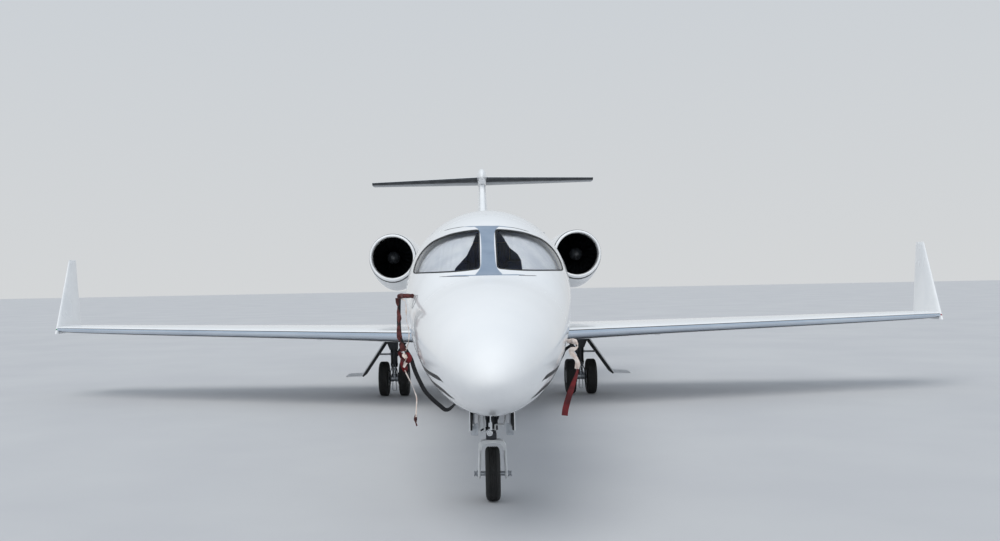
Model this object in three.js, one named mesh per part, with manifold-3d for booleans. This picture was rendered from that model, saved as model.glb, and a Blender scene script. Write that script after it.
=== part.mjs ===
// A twin-engine T-tail business jet, parked on its gear.
// Millimetres, +Z up, nose towards -Y, port side towards +X, ground at z = 0.
// A station is the distance aft of the nose tip.

import * as THREE from 'three';
import { mergeVertices } from 'three/addons/utils/BufferGeometryUtils.js';
import Module from 'manifold-3d';

const wasm = await Module();
wasm.setup();

// Driving dimensions
const LENGTH = 17680;
const GAP = 0.3;
const WALL = 45;
const FLOOR = 1120;
const RING_POINTS = 32;
const SIDES = [['port', 1], ['starboard', -1]];

// Where the body's panels meet
const COCKPIT = 1850;
const DOOR_RING = 3350;
const CABIN = 4900;
const TAIL = 9500;
const TAIL_END = 16200;

// Entry door
const DOOR = { front: 4000, back: 4760, low: 1075, split: 1750, high: 2360, clear: 6, swing: 22, tread: 210 };
const HINGE_TUBE = 10;
const HINGE_OUT = 2;

// Windows
const WINDOW = { first: 5100, pitch: 530, count: 8, wide: 290, tall: 400, corner: 120, z: 2010 };
const PANE = { out: 3, in: 15 };
const POST_HALF = 70;

// Gear
const NOSE_GEAR = {
  station: 1950, tyre: 228.5, width: 128, rim: 105, axle: 20, arm: 105, armThick: 26, lug: 160,
};
const MAIN_GEAR = {
  station: 9870, x: 1515, inner: 1350, outer: 1680, tyre: 280, width: 165, rim: 128, axle: 30, rod: 680,
};
const WHEEL_SIDES = 24;
const BORE = 0.7;
const BAY = { front: 1250, back: 2200, half: 170, ceiling: 1000 };
const NOSE_DOOR = { x: 178, thick: 10, front: 1560, back: 2190, low: 640 };

// Engines
const ENGINE = { x: 1600, z: 2290, intake: 10800, duct: 360, fan: 11150, core: 11500, coreEnd: 13000 };
const FAN = { radius: 350, hub: 120, blades: 14, thick: 70, pitch: 42, chord: 92, blade: 8 };
const INTAKE_RADIUS = 375;
const DUCT_SIDES = 28;

// Wing
const WING_TIP = 7190;
const TAIL_Z = 4093;
const FIN_TOP = TAIL_Z - 130;

// Control surfaces: room round them, and their end pins
const SLOT = 12;
const PIN = 14;

// Seats, and the rows as station and the side that their backs are on
const SEAT = {
  x: 430, half: 230, low: 1430, high: 1540, backNear: 170, backFar: 290, backHalf: 225, top: 2080,
  footX: 120, footY: 150, crewX: 330, crew: 2980, rows: [[5450, -1], [6700, 1], [7900, 1]],
};

// Body sections, columns: station, top, bottom, half width, height of the widest line, lower fullness
const BODY = [
  [0, 1225, 1175, 30, 1200, 2],
  [60, 1320, 1100, 120, 1205, 2],
  [180, 1415, 1030, 212, 1220, 2],
  [400, 1520, 950, 312, 1250, 1.95],
  [700, 1630, 885, 415, 1290, 1.9],
  [1100, 1745, 838, 515, 1345, 1.85],
  [1500, 1840, 812, 592, 1400, 1.85],
  [1900, 1932, 795, 655, 1460, 1.8],
  [2400, 2170, 770, 722, 1540, 1.8],
  [2900, 2395, 746, 778, 1620, 1.8],
  [3400, 2535, 732, 820, 1680, 1.8],
  [3900, 2606, 723, 854, 1732, 1.88],
  [4200, 2620, 720, 860, 1740, 1.9],
  [9500, 2620, 720, 860, 1740, 1.9],
  [10500, 2615, 800, 835, 1765, 1.95],
  [12000, 2580, 1000, 730, 1830, 2],
  [13500, 2490, 1260, 550, 1900, 2],
  [15000, 2350, 1560, 330, 1970, 2],
  [16000, 2235, 1810, 150, 2025, 2],
  [TAIL_END, 2190, 1870, 105, 2030, 2],
];

// Wing fairing under the body, columns: station, top, bottom, half width, widest height, lower fullness
const FAIRING = [
  [6600, 1100, 740, 420, 900, 2],
  [7100, 1300, 660, 760, 980, 2.4],
  [7700, 1400, 615, 930, 1020, 2.6],
  [9000, 1420, 600, 975, 1040, 2.7],
  [10600, 1420, 610, 955, 1040, 2.6],
  [11500, 1400, 700, 800, 1070, 2.4],
  [12200, 1330, 900, 520, 1130, 2],
];

// Wing, columns: x, leading edge station, chord, z, thickness
const WING = [
  [700, 7800, 3120, 1062, 270],
  [2400, 8320, 2560, 1093, 212],
  [6850, 9737, 1143, 1166, 137],
  [WING_TIP, 9845, 1035, 1176, 104],
];

// Winglet, standing on edge, columns: x, leading edge station, chord, z, thickness, lean in degrees
const WINGLET = [
  [7195, 9815, 1095, 1140, 86, 90],
  [7212, 9905, 1020, 1240, 80, 90],
  [7400, 10900, 300, 2370, 34, 90],
];

// Fin, columns: z, leading edge station, trailing edge station, thickness
const FIN = [
  [2100, 11500, 16060, 150],
  [2680, 12700, 16190, 200],
  [2860, 13500, 16240, 230],
  [FIN_TOP, 15560, 16820, 165],
];

// Stabilizer, columns: x, leading edge station, chord, z, thickness
const STABILIZER = [
  [0, 15700, 1500, TAIL_Z, 165],
  [2540, 16640, 860, 4137, 84],
];

// Fairing where the fin meets the stabilizer, columns: station, half width, top, bottom
const BULLET = [
  [15240, 12, 4112, 4062],
  [15420, 68, 4250, 3985],
  [15700, 105, 4318, 3950],
  [16500, 118, 4335, 3945],
  [17100, 92, 4310, 3975],
  [17560, 40, 4225, 4040],
  [LENGTH, 12, 4150, 4090],
];

// Nacelle, columns: station, half width, up, down
const NACELLE = [
  [10800, 384, 384, 388],
  [10840, 400, 402, 412],
  [11000, 418, 420, 462],
  [11400, 437, 437, 550],
  [11900, 442, 442, 592],
  [12500, 440, 440, 560],
  [13100, 418, 420, 470],
  [13450, 385, 386, 396],
];

// Pylon, columns: x, leading edge station, chord, z, thickness
const PYLON = [
  [500, 11280, 1950, 2150, 170],
  [1300, 11280, 1950, 2200, 150],
];

// Strakes under the tail, columns: station, reach from the body's inside
const STRAKE = [
  [13900, 100],
  [14300, 330],
  [15900, 760],
  [16150, 760],
  [15950, 0],
  [14000, 0],
];
const STRAKE_DROP = THREE.MathUtils.degToRad(38);
const STRAKE_THICK = 22;

// Air data probes on their masts, columns: station, z, reach from the skin, forward length, radius
const PROBE = {
  starboard: [2350, 1750, 130, 190, 24],
  port: [2200, 1330, 70, 150, 24],
};

// Chord fraction and share of the full thickness at each point of a wing section
const AIRFOIL = [
  [0.012, 0.36],
  [0.05, 0.66],
  [0.12, 0.86],
  [0.28, 1],
  [0.5, 0.88],
  [0.72, 0.58],
  [1, 0.06],
];

const part = new THREE.Group();
const paints = {
  white: [0xf2f3f4, 0.22, 0.05],
  dark: [0x1c1d20, 0.5, 0.4],
  steel: [0x9da2a6, 0.35, 0.85],
  black: [0x17181a, 0.75, 0],
  glass: [0x2a333b, 0.08, 0.1],
  shade: [0xc9cccf, 0.7, 0.3],
  seat: [0xb8aa98, 0.7, 0],
  red: [0xa5202c, 0.8, 0],
};

const y = (station) => station - LENGTH / 2;

const add = (name, body, paint) => {
  const [color, roughness, metalness] = paints[paint];
  const material = new THREE.MeshStandardMaterial({ color, roughness, metalness });
  const mesh = new THREE.Mesh(body.isBufferGeometry ? body : geometryOf(body), material);
  mesh.name = name;
  part.add(mesh);
};

// Solids to and from three.js geometry
function solidOf(geometry) {
  const plain = new THREE.BufferGeometry();
  plain.setAttribute('position', geometry.getAttribute('position').clone());
  plain.setIndex(geometry.getIndex());
  const merged = mergeVertices(plain, 1e-3);
  const vertProperties = new Float32Array(merged.getAttribute('position').array);
  const triVerts = new Uint32Array(merged.getIndex().array);
  return new wasm.Manifold(new wasm.Mesh({ numProp: 3, vertProperties, triVerts }));
}

function geometryOf(solid) {
  const mesh = solid.getMesh();
  const geometry = new THREE.BufferGeometry();
  geometry.setAttribute('position', new THREE.BufferAttribute(new Float32Array(mesh.vertProperties), 3));
  geometry.setIndex(new THREE.BufferAttribute(new Uint32Array(mesh.triVerts), 1));
  return geometry;
}

const join = (solids) => solids.reduce((all, one) => all.add(one));

// A closed body through rings of points, each starting at one end of its section.
// The faces of a ring's two halves mirror each other.
function loft(rings) {
  const count = rings[0].length;
  const points = rings.flat().flatMap((p) => [p.x, p.y, p.z]);
  const index = [];
  for (let r = 0; r < rings.length - 1; r += 1) {
    for (let i = 0; i < count; i += 1) {
      const a = r * count + i;
      const b = r * count + ((i + 1) % count);
      if (i < count / 2) index.push(a, b, b + count, a, b + count, a + count);
      else index.push(a, b, a + count, b, b + count, a + count);
    }
  }
  const cap = (base, flip) => {
    const half = Math.floor(count / 2);
    for (let k = 0; k < half; k += 1) {
      const quad = [k, k + 1, (count - k - 1) % count, (count - k) % count];
      const [p, q, s, t] = quad.map((v) => base + v);
      const faces = [[p, s, q], [p, t, s]];
      for (const [a, b, c] of faces) {
        if (a !== b && b !== c && a !== c) index.push(...(flip ? [a, c, b] : [a, b, c]));
      }
    }
  };
  cap(0, false);
  cap((rings.length - 1) * count, true);
  const geometry = new THREE.BufferGeometry();
  geometry.setAttribute('position', new THREE.Float32BufferAttribute(points, 3));
  geometry.setIndex(index);
  const solid = solidOf(geometry);
  return solid.volume() < 0 ? solidOf(flipped(geometry)) : solid;
}

function flipped(geometry) {
  const order = Array.from(geometry.getIndex().array);
  for (let i = 0; i < order.length; i += 3) {
    [order[i], order[i + 1]] = [order[i + 1], order[i]];
  }
  const turned = geometry.clone();
  turned.setIndex(order);
  return turned;
}

// A smooth value between a table's rows, by monotone cubic steps
function between(table, column, station) {
  const last = table.length - 2;
  let row = table.findIndex((r) => r[0] > station) - 1;
  if (row < 0) row = station <= table[0][0] ? 0 : last;
  const slope = (k) => (table[k + 1][column] - table[k][column]) / (table[k + 1][0] - table[k][0]);
  const tangent = (k) => {
    if (k === 0) return slope(0);
    if (k > last) return slope(last);
    const [a, b] = [slope(k - 1), slope(k)];
    return a * b <= 0 ? 0 : (2 * a * b) / (a + b);
  };
  const step = table[row + 1][0] - table[row][0];
  const t = (station - table[row][0]) / step;
  const [t2, t3] = [t * t, t * t * t];
  return (2 * t3 - 3 * t2 + 1) * table[row][column]
    + (t3 - 2 * t2 + t) * step * tangent(row)
    + (3 * t2 - 2 * t3) * table[row + 1][column]
    + (t3 - t2) * step * tangent(row + 1);
}

function bodyRing(table, station, inset) {
  const [top, bottom, half, wide, fullness] = [1, 2, 3, 4, 5].map((c) => between(table, c, station));
  const ring = [];
  for (let i = 0; i < RING_POINTS; i += 1) {
    const turn = (2 * Math.PI * i) / RING_POINTS;
    const [s, c] = [Math.sin(turn), Math.cos(turn)];
    const power = c >= 0 ? 1 : 2 / fullness;
    const x = (half - inset) * Math.sign(s) * Math.abs(s) ** power;
    const rise = c >= 0 ? (top - inset - wide) * c : -(wide - bottom - inset) * Math.abs(c) ** power;
    ring.push(new THREE.Vector3(x, y(station), wide + rise));
  }
  return ring;
}

// The body between two stations, drawn in by an inset
function bodyPiece(front, back, inset = 0, table = BODY) {
  const inside = table.map((r) => r[0]).filter((s) => s > front + 1 && s < back - 1);
  return loft([front, ...inside, back].map((s) => bodyRing(table, s, inset)));
}

function skinX(station, z, inset = 0) {
  const [top, bottom, half, wide, fullness] = [1, 2, 3, 4, 5].map((c) => between(BODY, c, station));
  const rise = z >= wide ? (z - wide) / (top - inset - wide) : (wide - z) / (wide - bottom - inset);
  const power = z >= wide ? 2 : fullness;
  return (half - inset) * (1 - rise ** power) ** (1 / power);
}

// Plain shapes, placed by their limits
function box(low, high) {
  const [x0, y0, z0] = low;
  const [x1, y1, z1] = high;
  const geometry = new THREE.BoxGeometry(x1 - x0, y1 - y0, z1 - z0);
  geometry.translate((x0 + x1) / 2, (y0 + y1) / 2, (z0 + z1) / 2);
  return solidOf(geometry);
}

// A round bar from one point to another
function bar(from, to, radius, endRadius = radius, sides = 12) {
  const [a, b] = [new THREE.Vector3(...from), new THREE.Vector3(...to)];
  const geometry = new THREE.CylinderGeometry(endRadius, radius, a.distanceTo(b), sides);
  const along = b.clone().sub(a).normalize();
  geometry.applyQuaternion(new THREE.Quaternion().setFromUnitVectors(new THREE.Vector3(0, 1, 0), along));
  geometry.translate(...a.add(b).multiplyScalar(0.5).toArray());
  return solidOf(geometry);
}

const prism = (outline, depth) => new THREE.ExtrudeGeometry(
  outline,
  { depth, bevelEnabled: false, curveSegments: 2 },
);

// An outline in x and z, run along y
function alongY(outline, front, back) {
  const geometry = prism(outline, back - front);
  geometry.rotateX(Math.PI / 2);
  geometry.translate(0, back, 0);
  return solidOf(geometry);
}

// An outline in y and z, run along x
function alongX(outline, from, to) {
  const geometry = prism(outline, to - from);
  geometry.rotateY(Math.PI / 2);
  geometry.rotateX(Math.PI / 2);
  geometry.translate(from, 0, 0);
  return solidOf(geometry);
}

function outlineOf(points) {
  return new THREE.Shape(points.map(([a, b]) => new THREE.Vector2(a, b)));
}

function roundedRect(cx, cy, wide, tall, corner) {
  const shape = new THREE.Shape();
  const [x0, x1, y0, y1] = [cx - wide / 2, cx + wide / 2, cy - tall / 2, cy + tall / 2];
  shape.moveTo(x0 + corner, y0);
  shape.lineTo(x1 - corner, y0);
  shape.absarc(x1 - corner, y0 + corner, corner, -Math.PI / 2, 0);
  shape.lineTo(x1, y1 - corner);
  shape.absarc(x1 - corner, y1 - corner, corner, 0, Math.PI / 2);
  shape.lineTo(x0 + corner, y1);
  shape.absarc(x0 + corner, y1 - corner, corner, Math.PI / 2, Math.PI);
  shape.lineTo(x0, y0 + corner);
  shape.absarc(x0 + corner, y0 + corner, corner, Math.PI, 1.5 * Math.PI);
  return shape;
}

// A profile of radius and place along x, turned about an axle along x
function wheelOf(profile, cx, cy, cz, segments) {
  const geometry = new THREE.LatheGeometry(profile.map(([r, a]) => new THREE.Vector2(r, a)), segments);
  geometry.rotateZ(-Math.PI / 2);
  geometry.translate(cx, cy, cz);
  const solid = solidOf(geometry);
  return solid.volume() < 0 ? solidOf(flipped(geometry)) : solid;
}

// A profile of radius and station, turned about a line along y
function turnedAlongY(profile, cx, cz, segments) {
  const geometry = new THREE.LatheGeometry(profile.map(([r, s]) => new THREE.Vector2(r, y(s))), segments);
  geometry.translate(cx, 0, cz);
  const solid = solidOf(geometry);
  return solid.volume() < 0 ? solidOf(flipped(geometry)) : solid;
}

const mirrorX = (solid) => solid.scale([-1, 1, 1]);
const onSide = (solid, side) => (side > 0 ? solid : mirrorX(solid));

// A wing section's ring; lean turns its thickness from up towards inboard
function wingRing([x, lead, chord, z, thick, lean = 0], grow = 0) {
  const angle = THREE.MathUtils.degToRad(lean);
  const place = (fraction, half) => new THREE.Vector3(
    x - Math.sin(angle) * half,
    y(lead - grow + fraction * (chord + 2 * grow)),
    z + Math.cos(angle) * half,
  );
  const upper = AIRFOIL.map(([f, share]) => place(f, share * thick * 0.5 + grow));
  const lower = AIRFOIL.map(([f, share]) => place(f, -share * thick * 0.5 - grow));
  return [place(0, 0), ...upper, ...lower.reverse()];
}

function finRing([z, lead, trail, thick]) {
  const place = (fraction, half) => new THREE.Vector3(half, y(lead + fraction * (trail - lead)), z);
  const right = AIRFOIL.map(([f, share]) => place(f, share * thick * 0.5));
  const left = AIRFOIL.map(([f, share]) => place(f, -share * thick * 0.5));
  return [place(0, 0), ...right, ...left.reverse()];
}

// Cuts a surface out of a wing, aft of a hinge line from one point to another.
// The surface has a round nose and a pin at each end.
function splitSurface(wing, from, to, noseFrom, noseTo, reach, wide) {
  const [a, b] = [new THREE.Vector3(...from), new THREE.Vector3(...to)];
  const along = b.clone().sub(a).normalize();
  const aft = new THREE.Vector3(0, 1, 0).addScaledVector(along, -along.y).normalize();
  const across = new THREE.Vector3().crossVectors(along, aft);
  const frame = new THREE.Matrix4().makeBasis(along, aft, across).setPosition(a);
  const length = a.distanceTo(b);
  const slab = (s0, s1, t0, t1) => {
    const geometry = new THREE.BoxGeometry(s1 - s0, t1 - t0, 2 * wide);
    geometry.translate((s0 + s1) / 2, (t0 + t1) / 2, 0);
    return solidOf(geometry.applyMatrix4(frame));
  };
  const nose = Math.max(noseFrom, noseTo);
  const hole = slab(-SLOT, length + SLOT, -nose - SLOT, reach);
  const point = (s) => a.clone().addScaledVector(along, s).toArray();
  const roundNose = bar(point(0), point(length), noseFrom, noseTo, 14);
  const pin = bar(point(-SLOT + GAP), point(length + SLOT - GAP), PIN, PIN, 12);
  const blade = wing.intersect(slab(0, length, 0, reach));
  return { fixed: wing.subtract(hole), moving: join([blade, roundNose, pin]) };
}

// Body panels
const gearBay = box([-BAY.half, y(BAY.front), 0], [BAY.half, y(BAY.back), BAY.ceiling]);
const bodySkin = bodyPiece(0, TAIL_END, -GAP);

function hollow(front, back, innerFront, innerBack) {
  const above = box([-2000, y(innerFront), FLOOR], [2000, y(innerBack), 4000]);
  return bodyPiece(front, back).subtract(bodyPiece(innerFront, innerBack, WALL).intersect(above));
}

// Windscreen outline on the port side, columns: x, z, as seen from ahead
const WINDSCREEN = [
  [POST_HALF, 1976],
  [170, 1963],
  [300, 1953],
  [450, 1950],
  [700, 1950],
  [727, 1968],
  [722, 2040],
  [700, 2100],
  [655, 2175],
  [545, 2268],
  [355, 2330],
  [200, 2352],
  [POST_HALF, 2360],
];

function screenTool(side, shrink) {
  const [cx, cz] = [400, 2140];
  const pull = (v, c, amount) => v - Math.sign(v - c) * amount;
  const points = WINDSCREEN.map(([x, z]) => [side * pull(x, cx, shrink), pull(z, cz, shrink)]);
  return alongY(outlineOf(points), y(1860), y(3340));
}

function band(front, back, outer, inner) {
  return bodyPiece(front, back, outer).subtract(bodyPiece(front - 1, back + 1, inner));
}

const nose = bodyPiece(0, COCKPIT - GAP).subtract(gearBay);
add('nose_section', nose, 'white');

const screens = join([screenTool(1, 0), screenTool(-1, 0)]);
const cockpit = hollow(COCKPIT, DOOR_RING - GAP, COCKPIT - 5, DOOR_RING + 5);
add('cockpit_section', cockpit.subtract(gearBay).subtract(screens), 'white');

for (const [name, side] of SIDES) {
  const glass = band(COCKPIT, DOOR_RING, PANE.out, PANE.in).intersect(screenTool(side, 0.6));
  add(`windscreen_${name}`, glass, 'glass');
  const edge = [[250, 1930], [790, 1930], [790, 2240], [640, 2330], [400, 2390], [250, 2395]];
  const cover = alongY(outlineOf(edge.map(([x, z]) => [side * x, z])), y(1900), y(3300));
  add(`sunshade_${name}`, band(COCKPIT, DOOR_RING, WALL + GAP, WALL + 4).intersect(cover), 'shade');
}

// Door ring with its opening, hinge lugs and two door halves
const hinges = {
  upper: [skinX(DOOR.front, DOOR.high) + HINGE_OUT, DOOR.high],
  lower: [skinX(DOOR.front, DOOR.low) + HINGE_OUT, DOOR.low],
};
const opening = box(
  [300, y(DOOR.front), DOOR.low - DOOR.clear],
  [1200, y(DOOR.back), DOOR.high + DOOR.clear],
).intersect(band(DOOR.front - 50, DOOR.back + 50, -60, WALL + DOOR.swing));
const hingeBar = ([x, z], front, back, radius) => bar([x, y(front), z], [x, y(back), z], radius);
const lugs = Object.values(hinges).flatMap((h) => [
  hingeBar(h, DOOR.front - 40, DOOR.front + 2, HINGE_TUBE),
  hingeBar(h, DOOR.back - 2, DOOR.back + 40, HINGE_TUBE),
]);
const hingeReach = HINGE_TUBE + DOOR.clear;
const hingeRoom = Object.values(hinges).map((h) => hingeBar(h, DOOR.front, DOOR.back, hingeReach));
const ring = hollow(DOOR_RING, CABIN - GAP, DOOR_RING - 5, CABIN + 5);
add('door_ring', join([ring.subtract(opening).subtract(join(hingeRoom)), ...lugs]), 'white');

function doorHalf(low, high, hinge) {
  const limits = box([300, y(DOOR.front + DOOR.clear), low], [1200, y(DOOR.back - DOOR.clear), high]);
  const panel = bodyPiece(DOOR.front, DOOR.back).subtract(bodyPiece(DOOR.front - 1, DOOR.back + 1, WALL));
  const tube = hingeBar(hinge, DOOR.front + 2 + GAP, DOOR.back - 2 - GAP, HINGE_TUBE);
  return panel.intersect(limits).add(tube);
}

const upperDoor = doorHalf(DOOR.split + DOOR.clear / 2, DOOR.high - DOOR.clear, hinges.upper);
add('entry_door_upper', upperDoor, 'white');

const treads = [1290, 1500].map((z) => {
  const reach = skinX(4400, z, WALL);
  return box([reach - DOOR.tread, y(DOOR.front + 60), z], [reach + 20, y(DOOR.back - 60), z + 30]);
});
const lowerDoor = doorHalf(DOOR.low + DOOR.clear, DOOR.split - DOOR.clear / 2, hinges.lower);
add('entry_door_lower', join([lowerDoor, ...treads]), 'white');

// Cabin barrel with its windows
const windowAt = (k, shrink) => roundedRect(
  y(WINDOW.first + k * WINDOW.pitch),
  WINDOW.z,
  WINDOW.wide - 2 * shrink,
  WINDOW.tall - 2 * shrink,
  WINDOW.corner - shrink,
);
const windowRow = (shrink, from, to) => join(
  Array.from({ length: WINDOW.count }, (_, k) => alongX(windowAt(k, shrink), from, to)),
);
const barrel = hollow(CABIN, TAIL - GAP, CABIN - 5, TAIL - 90);
add('cabin_barrel', barrel.subtract(windowRow(0, -1200, 1200)), 'white');

for (const [name, side] of SIDES) {
  const rail = box([0, y(CABIN + 20), 1760], [1200, y(TAIL - 110), 2260]);
  const liner = band(CABIN, TAIL - 100, WALL + GAP, WALL + 5).intersect(rail);
  const panes = band(CABIN, TAIL - 100, PANE.out, WALL + 3).intersect(windowRow(0.4, 300, 1200));
  add(`cabin_windows_${name}`, onSide(join([liner, panes]), side), 'glass');
}

// Tail cone, hollow, with its vent
const vent = bar([0, y(15800), 2030], [0, y(TAIL_END + 50), 2030], 55);
const strakes = SIDES.map(([, side]) => {
  const outline = outlineOf(STRAKE.map(([station, reach]) => [y(station), reach]));
  const geometry = new THREE.ExtrudeGeometry(outline, { depth: STRAKE_THICK, bevelEnabled: false });
  const out = new THREE.Vector3(side * Math.cos(STRAKE_DROP), 0, -Math.sin(STRAKE_DROP));
  const along = new THREE.Vector3(0, 1, 0);
  const frame = new THREE.Matrix4().makeBasis(along, out, along.clone().cross(out));
  return solidOf(geometry.applyMatrix4(frame.setPosition(side * 60, 0, 1880)));
});
const tailOuter = join([bodyPiece(TAIL, TAIL_END), ...strakes]);
const tail = tailOuter.subtract(bodyPiece(TAIL - 5, 15900, 40)).subtract(vent);

// Wing fairing
const fairing = bodyPiece(6600, 12200, 0, FAIRING).subtract(bodySkin);
add('wing_fairing', fairing, 'white');
const fairingSkin = bodyPiece(6600, 12200, -GAP, FAIRING);

// Wings with ailerons and flaps
const winglet = loft(WINGLET.map((row) => wingRing(row)));
const wingletSkin = loft(WINGLET.map((row) => wingRing(row, GAP)));
const wingLoft = loft(WING.map((row) => wingRing(row)));
const wingFull = wingLoft.subtract(fairingSkin).subtract(bodySkin).subtract(wingletSkin);
const wingSkin = loft(WING.map((row) => wingRing(row, GAP)));
const wingAt = (x) => {
  const column = (c) => between(WING, c, x);
  return { lead: column(1), chord: column(2), z: column(3), thick: column(4) };
};
const hingePoint = (x, fraction) => {
  const w = wingAt(x);
  return [x, y(w.lead + w.chord * fraction), w.z];
};

for (const [name, side] of SIDES) {
  const aileron = splitSurface(wingFull, hingePoint(5150, 0.76), hingePoint(6650, 0.76), 36, 24, 700, 300);
  const flap = splitSurface(aileron.fixed, hingePoint(1250, 0.78), hingePoint(5050, 0.78), 66, 36, 900, 400);
  const pad = bar([2650, y(9250), 965], [2650, y(9250), 1060], 45);
  add(`wing_${name}`, onSide(flap.fixed.add(pad), side), 'white');
  add(`aileron_${name}`, onSide(aileron.moving, side), 'white');
  add(`flap_${name}`, onSide(flap.moving, side), 'white');
  add(`winglet_${name}`, onSide(winglet, side), 'white');
}

// Fin and rudder
const finFull = loft(FIN.map(finRing)).subtract(bodySkin);
const rudder = splitSurface(finFull, [0, y(15560), 2560], [0, y(16222), 3883], 34, 58, 1200, 300);
const belowBullet = box([-500, y(11000), 2000], [500, y(17600), FIN_TOP - GAP]);
add('fin', rudder.fixed.intersect(belowBullet), 'white');
add('rudder', rudder.moving, 'white');
add('tail_cone', tail, 'white');

// Stabilizer with its bullet fairing, and the elevators
const bullet = loft(BULLET.map(([station, half, top, bottom]) => {
  const mid = (top + bottom) / 2;
  return Array.from({ length: 16 }, (_, i) => {
    const turn = (2 * Math.PI * i) / 16;
    return new THREE.Vector3(half * Math.sin(turn), y(station), mid + ((top - bottom) / 2) * Math.cos(turn));
  });
}));
const stabilizerHalf = loft(STABILIZER.map((row) => wingRing(row)));
let stabilizer = join(SIDES.map(([, side]) => onSide(stabilizerHalf, side)));
const elevatorHinge = (x, side) => {
  const lead = between(STABILIZER, 1, x);
  const chord = between(STABILIZER, 2, x);
  return [side * x, y(lead + chord * 0.68), between(STABILIZER, 3, x)];
};
for (const [name, side] of SIDES) {
  const ends = [elevatorHinge(250, side), elevatorHinge(2480, side)];
  const cut = splitSurface(stabilizer, ...ends, 50, 24, 700, 200);
  stabilizer = cut.fixed;
  add(`elevator_${name}`, cut.moving, 'white');
}
const aboveFin = box([-3000, y(14000), FIN_TOP], [3000, y(18000), 4600]);
add('stabilizer', stabilizer.add(bullet).intersect(aboveFin), 'white');

// Engines
const nacelleRing = ([station, half, up, down], grow) => Array.from({ length: DUCT_SIDES }, (_, i) => {
  const turn = (2 * Math.PI * i) / DUCT_SIDES;
  const c = Math.cos(turn);
  return new THREE.Vector3(
    ENGINE.x + (half + grow) * Math.sin(turn),
    y(station),
    ENGINE.z + (c >= 0 ? up + grow : down + grow) * c,
  );
});
const ductProfile = [
  [0, ENGINE.intake - 10],
  [INTAKE_RADIUS, ENGINE.intake - 10],
  [ENGINE.duct, NACELLE[1][0]],
  [ENGINE.duct, NACELLE.at(-1)[0] + 10],
  [0, NACELLE.at(-1)[0] + 10],
];
const duct = turnedAlongY(ductProfile, ENGINE.x, ENGINE.z, DUCT_SIDES);
const nacelle = loft(NACELLE.map((row) => nacelleRing(row, 0))).subtract(duct);
const nacelleSkin = loft(NACELLE.map((row) => nacelleRing(row, GAP)));
const spinner = turnedAlongY([
  [0, ENGINE.fan - 190],
  [60, ENGINE.fan - 150],
  [FAN.hub, ENGINE.fan],
  [FAN.hub, ENGINE.fan + FAN.thick],
  [0, ENGINE.fan + FAN.thick],
], ENGINE.x, ENGINE.z, 18);
const blades = Array.from({ length: FAN.blades }, (_, k) => {
  const blade = new THREE.BoxGeometry(FAN.blade, FAN.chord, FAN.radius - FAN.hub + 20);
  blade.rotateZ(THREE.MathUtils.degToRad(FAN.pitch));
  blade.translate(0, 0, (FAN.radius + FAN.hub) / 2 - 12);
  blade.rotateY((2 * Math.PI * k) / FAN.blades);
  blade.translate(ENGINE.x, y(ENGINE.fan + FAN.thick / 2), ENGINE.z);
  return solidOf(blade);
});
const engine = turnedAlongY([
  [0, ENGINE.fan + FAN.thick + GAP],
  [45, ENGINE.fan + FAN.thick + GAP],
  [45, ENGINE.core],
  [ENGINE.duct - GAP, ENGINE.core],
  [ENGINE.duct - GAP, ENGINE.coreEnd],
  [325, ENGINE.coreEnd + 60],
  [300, 13650],
  [285, 13650],
  [290, 13200],
  [150, 13200],
  [0, 13620],
], ENGINE.x, ENGINE.z, DUCT_SIDES);
const pylon = loft(PYLON.map((row) => wingRing(row))).subtract(bodySkin).subtract(nacelleSkin);
for (const [name, side] of SIDES) {
  add(`nacelle_${name}`, onSide(nacelle, side), 'white');
  add(`fan_${name}`, onSide(join([spinner, ...blades]), side), 'dark');
  add(`engine_${name}`, onSide(engine, side), 'steel');
  add(`pylon_${name}`, onSide(pylon, side), 'white');
}

// Wheels: a hub with a bore, and a tyre on it
function hubProfile(width, rim, bore) {
  const half = width / 2;
  return [
    [bore, -half * 0.55],
    [rim * 0.8, -half * 0.6],
    [rim * 0.86, -half],
    [rim, -half],
    [rim * 0.94, -half * 0.7],
    [rim * 0.94, half * 0.7],
    [rim, half],
    [rim * 0.86, half],
    [rim * 0.8, half * 0.6],
    [bore, half * 0.55],
    [bore, -half * 0.55],
  ];
}

function tyreProfile(width, rim, radius) {
  const half = width / 2;
  const seat = rim * 0.94 + GAP;
  const wall = radius - rim;
  return [
    [seat, -half * 0.54],
    [rim + 2, -half * 0.82],
    [rim + wall * 0.45, -half],
    [radius - wall * 0.12, -half * 0.85],
    [radius, -half * 0.5],
    [radius, half * 0.5],
    [radius - wall * 0.12, half * 0.85],
    [rim + wall * 0.45, half],
    [rim + 2, half * 0.82],
    [seat, half * 0.54],
    [seat, -half * 0.54],
  ];
}

// Nose gear
const ng = NOSE_GEAR;
const axleZ = ng.tyre;
const noseY = y(ng.station);
const noseLeg = join([
  bar([0, noseY, 600 + GAP], [0, noseY, BAY.ceiling - GAP], 48),
  bar([0, noseY, 760], [0, noseY, 800], 66),
  bar([0, noseY - 30, 790], [0, y(1380), BAY.ceiling - 20], 20),
  box([-30, y(1350), BAY.ceiling - 50], [30, y(1420), BAY.ceiling - GAP]),
]);
add('nose_gear_leg', noseLeg, 'steel');

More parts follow.
